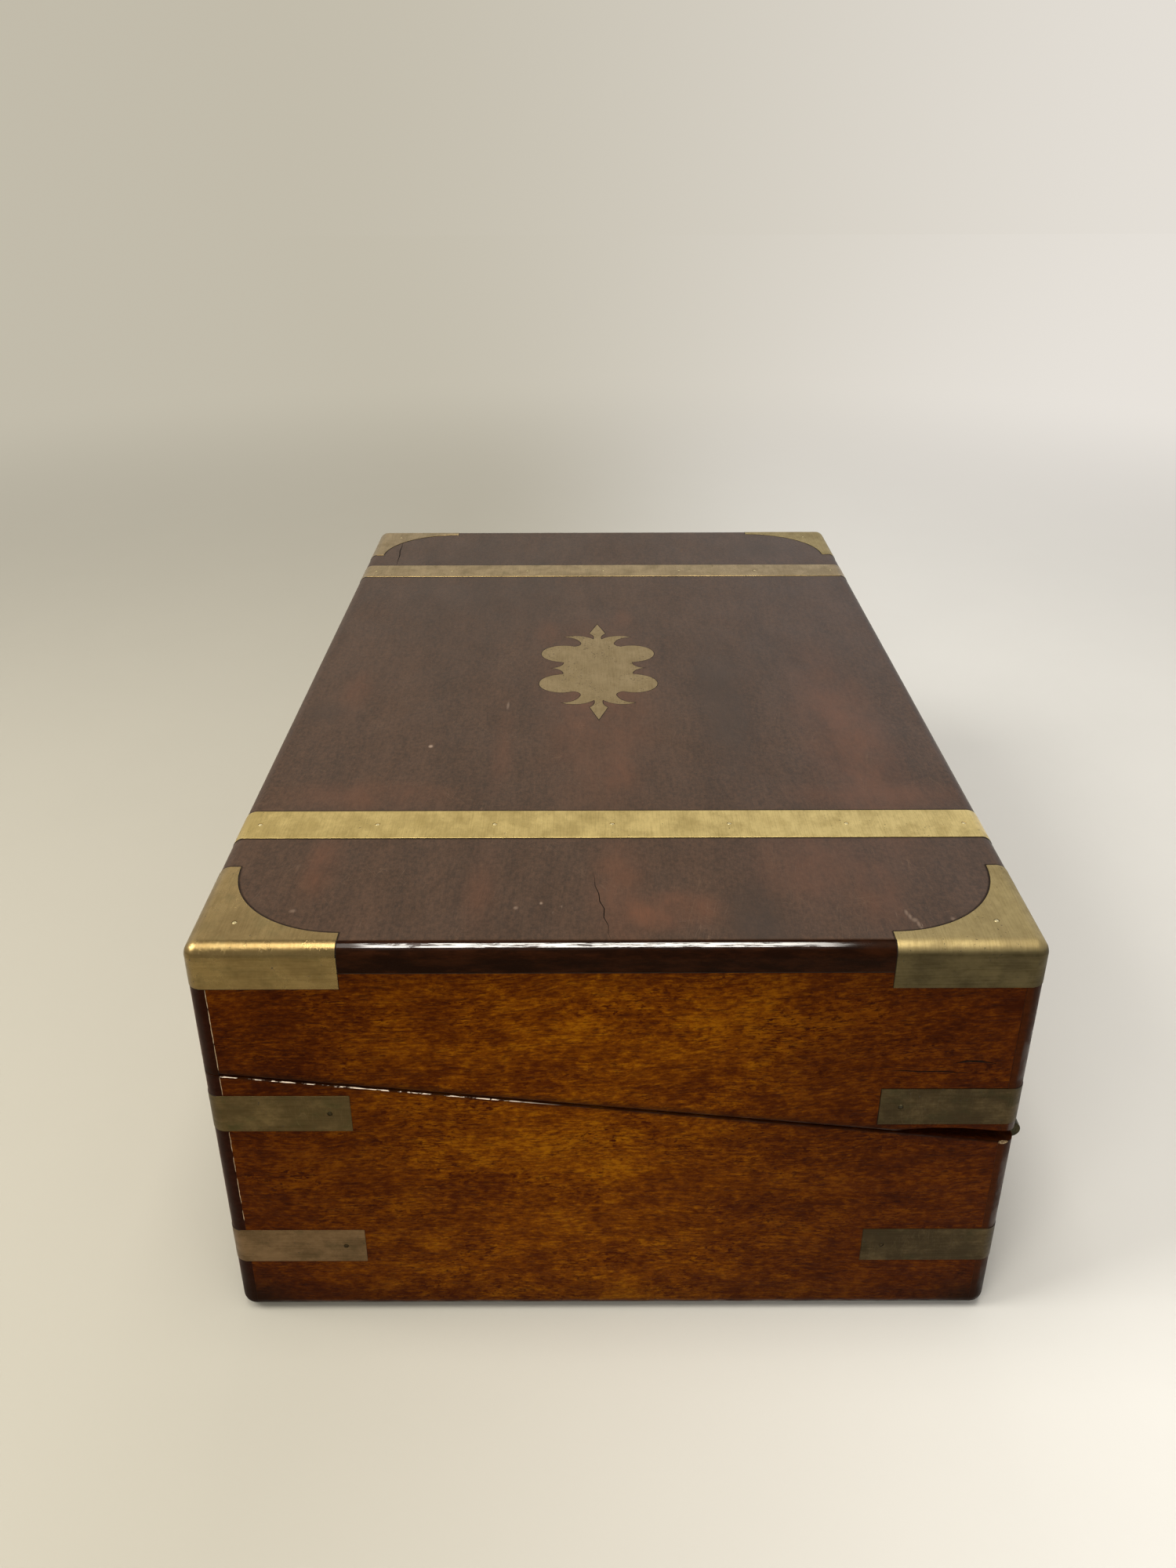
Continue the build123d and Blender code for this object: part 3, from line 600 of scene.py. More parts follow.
@dataclass(frozen=True)
class LidMahogany(Finish):
    """The lid's top: greyed polish over red mahogany, scuffed, with near-black moulded edges."""

    dark: Colour = (0.027, 0.0165, 0.0105)
    middle: Colour = (0.070, 0.0385, 0.0230)
    red: Colour = (0.100, 0.0430, 0.0230)
    grey: Colour = (0.036, 0.0235, 0.0165)
    pore: Colour = (0.026, 0.0140, 0.0090)
    edge: Colour = (0.0070, 0.0023, 0.0011)
    worn_edge: Colour = (0.0190, 0.0056, 0.0020)
    bare: Colour = (0.24, 0.170, 0.125)
    seam: Colour = (0.0085, 0.0050, 0.0030)
    inner_dark: Colour = (0.070, 0.0250, 0.0090)
    inner_light: Colour = (0.185, 0.0760, 0.0270)
    reddened: Patches = Patches((
        (-30.0, 4.0, 125.0, 32.0, 0.6), (-90.0, -2.0, 44.0, 11.0, 0.65),
        (45.0, 26.0, 26.0, 9.0, 0.4), (62.0, -8.0, 22.0, 8.0, 0.35),
        (-174.0, -2.0, 42.0, 14.0, 0.65), (-160.0, 92.0, 28.0, 9.0, 0.6),
        (-24.0, 103.0, 36.0, 9.0, 0.5), (-78.0, 40.0, 48.0, 6.0, 0.4),
        (-66.0, -90.0, 125.0, 24.0, 0.7), (-113.0, -94.0, 16.0, 44.0, 0.6),
        (-113.0, 84.0, 16.0, 44.0, 0.45), (-174.0, -80.0, 32.0, 11.0, 0.6),
        (-172.0, 41.0, 34.0, 8.0, 0.4), (-186.0, -15.0, 15.0, 24.0, 1.2),
        (-160.0, -62.0, 40.0, 26.0, 0.5),
    ))
    greyed: Patches = Patches((
        (-34.0, -46.0, 84.0, 15.0, 0.8), (120.0, 60.0, 110.0, 74.0, 0.45),
        (-190.0, -42.0, 26.0, 15.0, 0.8), (-42.0, 112.0, 15.0, 15.0, 0.6),
        (168.0, -84.0, 20.0, 26.0, 0.7),
    ))
    marked: Patches = Patches((
        (-73.8, 67.0, 1.8, 1.2, 1.0), (-36.7, 40.0, 5.5, 0.8, 0.4),
        (-184.4, 29.7, 1.3, 1.0, 0.45), (-181.9, 22.2, 1.1, 0.7, 0.7),
        (-185.8, 96.2, 1.4, 1.4, 0.3), (-187.5, -86.5, 2.4, 0.8, 0.4),
        (-189.7, -87.1, 2.4, 0.8, 0.4), (-191.4, -88.1, 1.7, 1.4, 0.4),
        (-193.6, -88.8, 2.6, 0.8, 0.4), (-196.1, -89.2, 2.4, 0.8, 0.35),
        (-190.9, -99.5, 1.5, 1.0, 0.35),
    ))
    nicked: Patches = Patches((
        (-193.4, 70.1, 9.0, 13.0, 0.34), (-190.0, -88.0, 11.0, 12.0, 0.34),
        (-186.0, 20.0, 10.0, 26.0, 0.14),
    ))

    def paint(self, tree: Tree) -> dict[str, Any]:
        """Lay edges, wear, marks and a clear coat over the polished board.

        Args:
            tree: The finish's tree.

        Returns:
            Values and signals of the shader's sockets.
        """
        place, up = tree.place, tree.facing.z
        sway = tree.cloud((90.0, 30.0, 30.0), 9.0, 1.0) - 0.5
        where = place + sway * 10.0 * (0.0, 1.0, 0.0)
        pores = tree.cloud((5.0, 0.34, 0.34), 3.0, 1.0, where=where).ease(0.6, 0.68)
        colour = tree.mix(pores * 0.15, self.polish(tree, where), self.pore)
        long_edge = abs(tree.facing.y).ease(0.02, 0.06) * up.ease(0.25, 0.4)
        side = up.ease(0.998, 0.97) * (1.0 - long_edge)
        ragged = tree.cloud((9.0, 14.0, 3.0), 15.0, 4.0, 0.7).ease(0.4, 0.7)
        colour = tree.mix(side, colour, tree.mix(ragged, self.edge, self.worn_edge))
        wear = self.scratches(tree) * (1.0 - side)
        nicks = self.nicks(tree) * (1.0 - side)
        marks = self.marked.mask(place) * (1.0 - side)
        colour = tree.mix(wear * 0.16 + nicks * 0.7 + marks, colour, self.bare)
        colour = tree.mix(up.ease(-0.9, -0.97), colour, self.inner(tree, where))
        seams = self.seams(tree) * (1.0 - side)
        fine = tree.cloud(1.3, 6.0, 2.0)
        normal = tree.bump(tree.cloud((16.0, 5.0, 5.0), 7.0, 3.0, 0.55), 0.16)
        rough = tree.cloud((60.0, 40.0, 40.0), 5.0, 3.0, 0.55) * 0.12 + fine * 0.08
        return {
            "Base Color": tree.mix(seams, colour, self.seam),
            "Roughness": rough + wear * 0.15 + nicks * 0.3 + 0.3,
            "Normal": tree.bump(fine * 0.3 - wear * 0.5 - nicks - pores * 0.5, 0.035, normal),
            "Specular IOR Level": 0.05,
            "Specular Tint": (1.0, 0.6, 0.35),
            "Coat Weight": self.coat(tree, side, wear, seams),
            "Coat Roughness": 0.06,
            "Coat IOR": 2.2,
        }

    def coat(self, tree: Tree, side: Signal, wear: Signal, seams: Signal) -> Signal:
        """Weight of the clear coat: hazy on the flat, and bright along the moulded edge.

        Args:
            tree: The finish's tree.
            side: 1 on the edges.
            wear: 1 on a scratch.
            seams: How dirty the wood is beside the brass.

        Returns:
            The weight.
        """
        y, up = tree.place.y, tree.facing.z
        satin = tree.cloud((26.0, 18.0, 20.0), 12.0, 4.0, 0.65).ease(0.3, 0.7)
        hazy = y.ease(-10.0, -100.0) * 0.05 - y.ease(20.0, 110.0) * 0.006
        flat = (1.0 - side) * (satin * 0.04 + 0.092 + hazy - wear * 0.06) * (1.0 - seams)
        worn = tree.cloud((0.36, 10.0, 0.36), 13.0, 4.0, 0.7).ease(0.455, 0.485)
        whole = worn * y.ease(77.0, 68.0) * y.ease(-80.0, -40.0)
        rounding = up.ease(0.96, 0.92) * up.ease(0.62, 0.76)
        return flat.most(rounding * (whole * 0.9 + 0.1))

    def polish(self, tree: Tree, where: Signal) -> Signal:
        """Colour of the polished board before wear.

        Args:
            tree: The finish's tree.
            where: Place bent by the grain.

        Returns:
            The colour.
        """
        streaks = tree.cloud((70.0, 12.0, 12.0), 0.0, 4.0, 0.6, where)
        lines = tree.cloud((9.0, 0.8, 0.8), 1.0, 3.0, 0.7, where)
        satin = tree.cloud((1.7, 1.3, 2.0), 14.0, 4.0, 0.75)
        tone = (streaks * 0.4 + lines * 0.3 + satin * 0.9 - 0.3).ease(0.2, 0.8)
        colour = tree.mix(tone, self.dark, self.middle)
        uneven = tree.cloud((24.0, 11.0, 11.0), 2.0, 4.0, 0.65, where).ease(0.3, 0.7)
        colour = tree.mix(self.reddened.mask(tree.place) * (uneven * 0.7 + 0.3), colour, self.red)
        return tree.mix(self.greyed.mask(tree.place) * (uneven * 0.6 + 0.45), colour, self.grey)

    def inner(self, tree: Tree, where: Signal) -> Signal:
        """Colour of the board's unpolished underside, which shows inside the lid.

        Args:
            tree: The finish's tree.
            where: Place bent by the grain.

        Returns:
            The colour.
        """
        lines = tree.cloud((38.0, 1.6, 1.6), 70.0, 4.0, 0.7, where)
        figure = tree.cloud((90.0, 26.0, 26.0), 71.0, where=where)
        flecks = tree.cloud((4.0, 0.5, 0.5), 72.0, 2.0, where=where).ease(0.6, 0.68) * 0.5
        tone = (lines * 0.7 + figure * 0.6 - 0.15).ease(0.2, 0.8)
        return tree.mix(flecks, tree.mix(tone, self.inner_dark, self.inner_light), self.pore)

    def seams(self, tree: Tree) -> Signal:
        """Dirt in the wood beside the straps and the brackets.

        Args:
            tree: The finish's tree.

        Returns:
            How dark it is.
        """
        x, y = abs(tree.place.x), abs(tree.place.y)
        total = (abs(x - PLAN.strap_middle) - PLAN.strap_width / 2).ease(1.1, 0.35)
        out_x, out_y = x - PLAN.hollow_x, y - PLAN.hollow_y
        away = (out_x * out_x + out_y * out_y) ** 0.5
        hollow = (PLAN.hollow_radius - away).ease(0.95, 0.3)
        total = total.most(hollow * out_x.ease(-0.1, 0.0) * out_y.ease(-0.1, 0.0))
        arm = PLAN.hollow_radius - 0.2
        for one, other, first, last in ((out_x, out_y, -1.0, -0.3), (out_y, out_x, -0.7, -0.2)):
            end = one.ease(first, last) * one.ease(0.3, 0.0) * other.ease(arm - 0.4, arm)
            total = total.most(end)
        return total * (tree.cloud(6.0, 60.0, 3.0, 0.6).ease(0.2, 0.55) * 0.4 + 0.5)

    def scratches(self, tree: Tree) -> Signal:
        """Fine scratches in three directions, thinned out by a soft field.

        Args:
            tree: The finish's tree.

        Returns:
            1 on a scratch.
        """
        total = tree.hairlines((60.0, 2.6, 60.0), 31.0, 0.006, 12.0)
        for degrees, shift in ((-34.0, 33.0), (80.0, 35.0)):
            total = total.most(tree.hairlines((46.0, 3.4, 60.0), shift, 0.005, degrees))
        return total * tree.cloud(22.0, 40.0, 2.0).ease(0.5, 0.68)

    def nicks(self, tree: Tree) -> Signal:
        """Short pale nicks along the lid, crowded in a few places."""
        crowd = (tree.cloud(24.0, 51.0, 1.0) * 0.8 + self.nicked.mask(tree.place)).ease(0.60, 0.74)
        return tree.cloud((4.5, 0.8, 2.0), 50.0, 1.0).ease(0.68, 0.74) * crowd * 0.6


@dataclass(frozen=True)
class AgedBrass(Finish):
    """Old brass: rubbed metal under a thin olive tarnish, brushed, pitted and scratched."""

    bright: Colour = (0.49, 0.345, 0.142)
    tarnish: Colour = (0.36, 0.250, 0.101)
    green: Colour = (0.22, 0.190, 0.080)
    stain: Colour = (0.66, 0.64, 0.56)
    pit: Colour = (0.035, 0.025, 0.012)
    cover: float = 0.5
    polish: float = 0.36
    greenness: float = 0.14
    pitted: float = 0.0
    slant: float = 0.0
    side_shade: float = 0.68

    def paint(self, tree: Tree) -> dict[str, Any]:
        """Lay tarnish, stains, pits and scratches over the metal.

        Args:
            tree: The finish's tree.

        Returns:
            Values and signals of the shader's sockets.
        """
        blotch = tree.cloud((13.0, 11.0, 8.0), 0.0, 5.0, 0.7)
        film = (blotch + tree.place.y * self.slant + (self.cover - 0.5)).ease(0.32, 0.68)
        colour = tree.mix(film, self.bright, self.tarnish)
        verdigris = tree.cloud((11.0, 9.0, 5.0), 1.0, 4.0, 0.7).ease(0.5, 0.72)
        colour = tree.mix(verdigris * self.greenness, colour, self.green)
        up = abs(tree.facing.z).ease(0.3, 0.8)
        level = tree.cloud((11.0, 0.5, 11.0), 4.0, 3.0, 0.7)
        standing = tree.cloud((16.0, 16.0, 0.5), 9.0, 3.0, 0.65)
        brushed = level * up + standing * (1.0 - up)
        smear = tree.cloud((9.0, 5.0, 4.0), 11.0, 4.0, 0.7).ease(0.42, 0.72)
        worn = brushed.ease(0.4, 0.7) * 0.45 + smear * 0.28
        colour = colour * tree.mix(worn, WHITE, self.stain)
        pits, marks = self.pits(tree), self.scratches(tree)
        colour = tree.mix(marks * 0.35, tree.mix(pits * 0.85, colour, self.pit), self.bright)
        normal = tree.bump(tree.cloud(9.0, 8.0, 2.0), 0.1)
        rough = film * 0.12 + verdigris * 0.08 + pits * 0.3 + brushed * 0.12 + (self.polish - 0.12)
        return {
            "Base Color": colour * (up * (1.0 - self.side_shade) + self.side_shade),
            "Metallic": 1.0 - pits * 0.7,
            "Roughness": rough.least(0.9),
            "Normal": tree.bump(brushed * 0.4 - pits - marks * 0.4, 0.03, normal),
        }

    def pits(self, tree: Tree) -> Signal:
        """Small dark pits, crowded here and there.

        Args:
            tree: The finish's tree.

        Returns:
            1 in a pit.
        """
        speck = (tree.cloud(1.1, 2.0, 2.0, 0.6) + self.pitted).ease(0.67, 0.73)
        spot = tree.cloud((3.2, 2.4, 2.4), 10.0, 3.0, 0.7) + self.pitted * 0.6
        return (speck * tree.cloud(12.0, 3.0, 1.0).ease(0.42, 0.62)).most(spot.ease(0.71, 0.77))

    def scratches(self, tree: Tree) -> Signal:
        """Rubbed scratches in two directions, thinned out by a soft field.

        Args:
            tree: The finish's tree.

        Returns:
            1 on a scratch.
        """
        fine = tree.hairlines((30.0, 1.6, 12.0), 5.0, 0.010, 24.0)
        crossed = tree.hairlines((26.0, 2.0, 12.0), 6.0, 0.008, -58.0)
        return fine.most(crossed) * tree.cloud(12.0, 7.0, 1.0).ease(0.42, 0.62)


@dataclass(frozen=True)
class TooledLeather(Finish):
    """Worn green skiver with gilt lines tooled round it, up to a far edge on the slope."""

    body: Colour = (0.014, 0.036, 0.020)
    rubbed: Colour = (0.070, 0.085, 0.045)
    creased: Colour = (0.006, 0.012, 0.008)
    inked: Colour = (0.008, 0.012, 0.012)
    gilt: Colour = (0.62, 0.42, 0.14)
    far: float = 168.2
    lines: tuple[tuple[float, float], ...] = ((7.0, 0.45), (9.0, 0.27))

    def paint(self, tree: Tree) -> dict[str, Any]:
        """Lay rubs, creases, ink and gilding over the leather.

        Args:
            tree: The finish's tree.

        Returns:
            Values and signals of the shader's sockets.
        """
        cells = {"Vector": tree.place, "Scale": 0.9, "Randomness": 1.0}
        crease = tree.add("TexVoronoi", cells, "Distance", feature="DISTANCE_TO_EDGE")
        crease = crease.ease(0.0, 0.16)
        rub = tree.cloud((60.0, 40.0, 40.0), 0.0, 4.0, 0.6).ease(0.5, 0.75)
        colour = tree.mix(rub * 0.7, self.body, self.rubbed)
        colour = tree.mix((1.0 - crease) * 0.35, colour, self.creased)
        stain = tree.cloud(18.0, 1.0, 3.0, 0.6).ease(0.62, 0.72)
        colour = tree.mix(stain * 0.6, colour, self.inked)
        line = self.tooling(tree)
        gilt = line * tree.cloud(7.0, 2.0, 3.0, 0.7).ease(0.62, 0.5)
        scuffs = tree.hairlines((50.0, 3.0, 50.0), 4.0, 0.006, 30.0)
        return {
            "Base Color": tree.mix(gilt, colour, self.gilt),
            "Metallic": gilt,
            "Roughness": 0.62 - rub * 0.12 - gilt * 0.28 + scuffs * 0.1,
            "Normal": tree.bump(crease * 0.5 - line, 0.09),
            "Specular IOR Level": 0.35,
        }

    def tooling(self, tree: Tree) -> Signal:
        """The tooled lines, each a set distance inside the leather's edge.

        Args:
            tree: The finish's tree.

        Returns:
            1 on a line.
        """
        along = PLAN.up_rim(tree.place.y, tree.place.z)
        inset = PLAN.leather_half_length - abs(tree.place.x)
        inset = inset.least(along - PLAN.leather_near).least(self.far - along)
        (outer, wide), (inner, thin) = self.lines
        bold = abs(inset - outer).ease(wide, wide / 2)
        return bold.most(abs(inset - inner).ease(thin, thin / 2))


@dataclass(frozen=True)
class Baize(Finish):
    """Woollen cloth with a short matted nap."""

    body: Colour = (0.012, 0.026, 0.018)
    lint: Colour = (0.060, 0.075, 0.060)

    def paint(self, tree: Tree) -> dict[str, Any]:
        """Lay lint and threads over the cloth.

        Args:
            tree: The finish's tree.

        Returns:
            Values and signals of the shader's sockets.
        """
        nap = tree.cloud(0.5, 0.0, 4.0, 0.7)
        worn = tree.cloud((30.0, 24.0, 24.0), 1.0, 3.0, 0.6).ease(0.45, 0.75)
        threads = tree.hairlines((8.0, 1.2, 1.2), 2.0, 0.02)
        colour = tree.mix(nap.ease(0.35, 0.8) * 0.4 + worn * 0.3, self.body, self.lint)
        return {
            "Base Color": tree.mix(threads * 0.2, colour, self.lint),
            "Roughness": 0.95,
            "Normal": tree.bump(nap + threads * 0.3, 0.3),
            "Sheen Weight": 0.4,
            "Specular IOR Level": 0.1,
        }


@dataclass(frozen=True)
class DullSteel(Finish):
    """Steel gone grey brown, with rust in its low places."""

    body: Colour = (0.30, 0.285, 0.27)
    rust: Colour = (0.085, 0.035, 0.016)

    def paint(self, tree: Tree) -> dict[str, Any]:
        """Lay rust over the ground metal.

        Args:
            tree: The finish's tree.

        Returns:
            Values and signals of the shader's sockets.
        """
        bloom = tree.cloud(2.0, 0.0, 4.0, 0.65).ease(0.46, 0.66)
        grind = tree.cloud((6.0, 0.3, 0.3), 1.0, 2.0, 0.6)
        return {
            "Base Color": tree.mix(bloom * 0.8, self.body, self.rust),
            "Metallic": 1.0 - bloom * 0.7,
            "Roughness": bloom * 0.35 + grind * 0.15 + 0.3,
            "Normal": tree.bump(grind * 0.4 - bloom, 0.03),
        }


@dataclass(frozen=True)
class BottleGlass(Finish):
    """Old clear glass with a green tinge, faintly rippled, with a film of ink."""

    tint: Colour = (0.86, 0.93, 0.90)
    ink: Colour = (0.10, 0.12, 0.20)

    def paint(self, tree: Tree) -> dict[str, Any]:
        """Lay a film of ink over the glass.

        Args:
            tree: The finish's tree.

        Returns:
            Values and signals of the shader's sockets.
        """
        film = tree.cloud((9.0, 9.0, 6.0), 1.0, 4.0, 0.65).ease(0.5, 0.75)
        return {
            "Base Color": tree.mix(film * 0.35, self.tint, self.ink),
            "Roughness": film * 0.2 + 0.04,
            "Normal": tree.bump(tree.cloud((7.0, 7.0, 9.0), 0.0, 2.0), 0.25),
            "Transmission Weight": 1.0,
            "IOR": 1.5,
        }


@dataclass(frozen=True)
class PlainSurface(Finish):
    """One colour, gently mottled: glue, dirt and broken wood."""

    body: Colour = WHITE
    mottle: Colour = WHITE
    size: float = 3.0
    rough: float = 0.8
    depth: float = 0.1

    def paint(self, tree: Tree) -> dict[str, Any]:
        """Mottle the colour.

        Args:
            tree: The finish's tree.

        Returns:
            Values and signals of the shader's sockets.
        """
        lumps = tree.cloud(self.size, 0.0, 4.0, 0.6)
        return {
            "Base Color": tree.mix(lumps.ease(0.3, 0.7), self.body, self.mottle),
            "Roughness": self.rough,
            "Normal": tree.bump(lumps, self.depth),
            "Specular IOR Level": 0.2,
        }


ENDS = Mahogany(
    "case_mahogany_ends", 3.0, grain=Grain.ACROSS, lean=0.06, highlight_dash_strength=0.9, arris_coat=0.5
)
FRONT_BOARDS = Mahogany(
    "case_mahogany_front", 13.0, end=(0.092, 0.0250, 0.0016), arris_coat=0.35, ring_depth=0.5
)
BACK_BOARDS = Mahogany("case_mahogany_back", 14.0, arris_coat=0.05)
TOP = LidMahogany("top_mahogany", 21.0)
FLAP = Mahogany("flap_mahogany", 17.0, polish=0.36, dirt=0.0)
LINING = Mahogany(
    "lining_wood", 27.0, dark=(0.10, 0.035, 0.012), middle=(0.20, 0.075, 0.026),
    light=(0.30, 0.125, 0.045), pore=(0.05, 0.018, 0.008), end=(0.12, 0.045, 0.018),
    polish=0.6, dirt=0.35,
)
BARE_WOOD = PlainSurface(
    "bare_wood", 100.0, body=(0.30, 0.225, 0.125), mottle=(0.085, 0.042, 0.018), size=0.6
)
# Old, dusty broken wood, painted near-black as the shade in the gaps and cracks that it lines.
SHADED_OLD_BREAK = PlainSurface(
    "shaded_old_break", 100.0, body=(0.0130, 0.0108, 0.0072), mottle=(0.0030, 0.0021, 0.0014),
    size=1.3, rough=0.95, depth=0.2,
)
SOIL = PlainSurface(
    "edge_soil", 100.0, body=(0.0075, 0.0042, 0.0024), mottle=(0.0190, 0.0110, 0.0055),
    size=1.4, rough=0.7, depth=0.05,
)
GLUE = PlainSurface(
    "old_glue", 100.0, body=(0.55, 0.42, 0.27), mottle=(0.34, 0.22, 0.11), size=1.5
)
# Painted light: the near strap's brass is painted brighter than the lid's, where it catches the
# light, and its tarnish thins towards the hinge side.
LIT_NEAR_STRAP = AgedBrass(
    "lit_near_strap_brass", 38.0, bright=(0.96, 0.740, 0.288), tarnish=(0.66, 0.500, 0.182),
    greenness=0.1, slant=0.0006,
)
# Painted highlight and shade: the pins are painted brighter than the strap, partly from rubbing and
# partly where they catch the light, and nearly black on upright faces.
PINS = AgedBrass(
    "pin_brass", 39.0, bright=(1.0, 0.86, 0.50), tarnish=(0.92, 0.78, 0.42), side_shade=0.05
)
LID_BRASS = AgedBrass("lid_brass", 40.0, greenness=0.34, side_shade=0.58, polish=0.3)
# Painted shade: the brackets on the hinge side are painted darker than the lid's brass, as they
# face the darker side of the room; they are rougher too.
SHADED_DULL_CORNER = AgedBrass(
    "shaded_dull_corner_brass", 44.0, bright=(0.53, 0.415, 0.192), tarnish=(0.39, 0.305, 0.145),
    side_shade=0.22, polish=0.56,
)
CASE_BRASS = AgedBrass(
    "case_brass", 47.0, bright=(0.20, 0.141, 0.062), tarnish=(0.112, 0.077, 0.032),
    green=(0.080, 0.078, 0.028), cover=0.6, polish=0.42, greenness=0.5, side_shade=0.95,
)
LOW_BRASS = AgedBrass(
    "low_case_brass", 48.0, bright=(0.245, 0.155, 0.080), tarnish=(0.155, 0.098, 0.047),
    green=(0.100, 0.080, 0.036), polish=0.42, greenness=0.3, side_shade=0.95,
)
FRONT_BRASS = AgedBrass(
    "front_case_brass", 49.0, bright=(0.110, 0.078, 0.036), tarnish=(0.052, 0.036, 0.016),
    green=(0.046, 0.044, 0.018), cover=0.6, polish=0.42, greenness=0.5, side_shade=0.95,
)
INLAY_BRASS = AgedBrass(
    "inlay_brass", 52.0, bright=(0.47, 0.350, 0.176), tarnish=(0.37, 0.276, 0.140),
    green=(0.29, 0.232, 0.118), pitted=0.07, polish=0.5,
)
HARDWARE = AgedBrass("hardware_brass", 57.0, cover=0.35, greenness=0.2, side_shade=0.3)
HINGE_BRASS = AgedBrass(
    "hinge_brass", 63.0, bright=(0.11, 0.090, 0.046), tarnish=(0.030, 0.028, 0.016),
    green=(0.034, 0.042, 0.024), cover=0.62, polish=0.45, greenness=0.8, side_shade=0.9,
)
BAIZE = Baize("green_baize", 70.0)
STEEL = DullSteel("steel", 80.0)
GLASS = BottleGlass("bottle_glass", 90.0)


# ---------------------------------------------------------------- shapes


def loft(shape: bmesh.types.BMesh, rings: Sequence[Ring]) -> bmesh.types.BMesh:
    """Join rings of corners by faces and cap both ends.

    Args:
        shape: What the faces are added to.
        rings: Rings of equally many corners; one corner alone is a pole, and has no cap.

    Returns:
        The shape.
    """
    for one, two in zip(rings, rings[1:], strict=False):
        count = max(len(one), len(two))
        for first in range(count):
            second = (first + 1) % count
            corners = (one[first % len(one)], one[second % len(one)],
                       two[second % len(two)], two[first % len(two)])
            shape.faces.new(tuple(dict.fromkeys(corners)))
    for ring in (rings[0], rings[-1]):
        if len(ring) > 1:
            shape.faces.new(ring)
    return shape


def circle(radius: float, sides: int) -> list[tuple[float, float]]:
    """Corners of a circle; one of no radius is a single point."""
    angles = [math.tau * number / sides for number in range(sides if radius else 1)]
    return [(radius * math.cos(angle), radius * math.sin(angle)) for angle in angles]


def turned_shape(profile: Sequence[tuple[float, float]], sides: int) -> bmesh.types.BMesh:
    """Shape turned round Z, in metres.

    Args:
        profile: Radii and heights in millimetres; it starts and ends on the axis.
        sides: How many sides the turning has.

    Returns:
        The shape.
    """
    shape = bmesh.new()
    return loft(shape, [
        [shape.verts.new(Vector((x, y, level)) * MM) for x, y in circle(radius, sides)]
        for radius, level in profile
    ])


def slab_shape(
    columns: int, rows: int, place: Callable[[float, float, bool], Vector]
) -> bmesh.types.BMesh:
    """Thin slab of two faces joined round their edge.

    Args:
        columns: How many cells it has one way.
        rows: How many cells it has the other way.
        place: Where a point lies, from its two shares and whether it is on the upper face.

    Returns:
        The shape.
    """
    shape = bmesh.new()
    upper, lower = (
        [
            [shape.verts.new(place(i / columns, j / rows, above)) for j in range(rows + 1)]
            for i in range(columns + 1)
        ]
        for above in (True, False)
    )
    for grid in (upper, lower):
        for i in range(columns):
            for j in range(rows):
                shape.faces.new((grid[i][j], grid[i + 1][j], grid[i + 1][j + 1], grid[i][j + 1]))
    rim = [(i, 0) for i in range(columns)] + [(columns, j) for j in range(rows)]
    rim += [(i, rows) for i in range(columns, 0, -1)] + [(0, j) for j in range(rows, 0, -1)]
    for (i, j), (k, m) in zip(rim, rim[1:] + rim[:1], strict=True):
        shape.faces.new((upper[i][j], upper[k][m], lower[k][m], lower[i][j]))
    return shape


class Face(Enum):
    """A face of the box that a crack lies in, by the way out of it."""

    TOP = (0.0, 0.0, 1.0)
    LEFT_END = (-1.0, 0.0, 0.0)

    def point(self, first: float, second: float) -> Vector:
        """Point of the face, in millimetres: by X and Y on the top, by Y and Z on the end."""
        if self is Face.TOP:
            return Vector((first, second, PLAN.height))
        return Vector((-PLAN.length / 2, first, second))


@dataclass(frozen=True)
class Split:
    """Crack in a board: a crooked V-shaped cut along points on a face, in millimetres."""

    face: Face
    points: tuple[tuple[float, float], ...]
    width: float
    depth: float = 1.6
    proud: float = 0.4
    flare: float = 1.2

    def cutter(self) -> bmesh.types.BMesh:
        """Make the wedge that cuts it.

        Returns:
            The wedge's mesh.
        """
        out = Vector(self.face.value)
        places = [self.face.point(*point) for point in self.points]
        shape = bmesh.new()
        rows = []
        for number, middle in enumerate(places):
            before, after = places[max(number - 1, 0)], places[min(number + 1, len(places) - 1)]
            share = math.sin(math.pi * (number + 0.35) / (len(places) - 0.3))
            side = (after - before).cross(out).normalized() * self.width / 2 * max(share, 0.12)
            corners = (
                middle + out * self.proud + side * self.flare,
                middle + out * self.proud - side * self.flare,
                middle - out * self.depth * max(share, 0.3),
            )
            rows.append([shape.verts.new(corner * MM) for corner in corners])
        return loft(shape, rows)


@dataclass(frozen=True)
class Chip:
    """Small piece broken out of an arris: a ragged lump at a place, in millimetres."""

    centre: Point
    radii: Point
    seed: float
    raggedness: float = 0.3

    def cutter(self) -> bmesh.types.BMesh:
        """Make the lump that cuts it.

        Returns:
            The lump's mesh.
        """
        shape = bmesh.new()
        bmesh.ops.create_icosphere(shape, subdivisions=3, radius=1.0)
        for corner in shape.verts:
            lump = noise.noise(corner.co * 2.3 + Vector((self.seed,) * 3))
            flat = Vector(c * r for c, r in zip(corner.co, self.radii, strict=True))
            corner.co = (Vector(self.centre) + flat * (1.0 + self.raggedness * lump)) * MM
        return shape


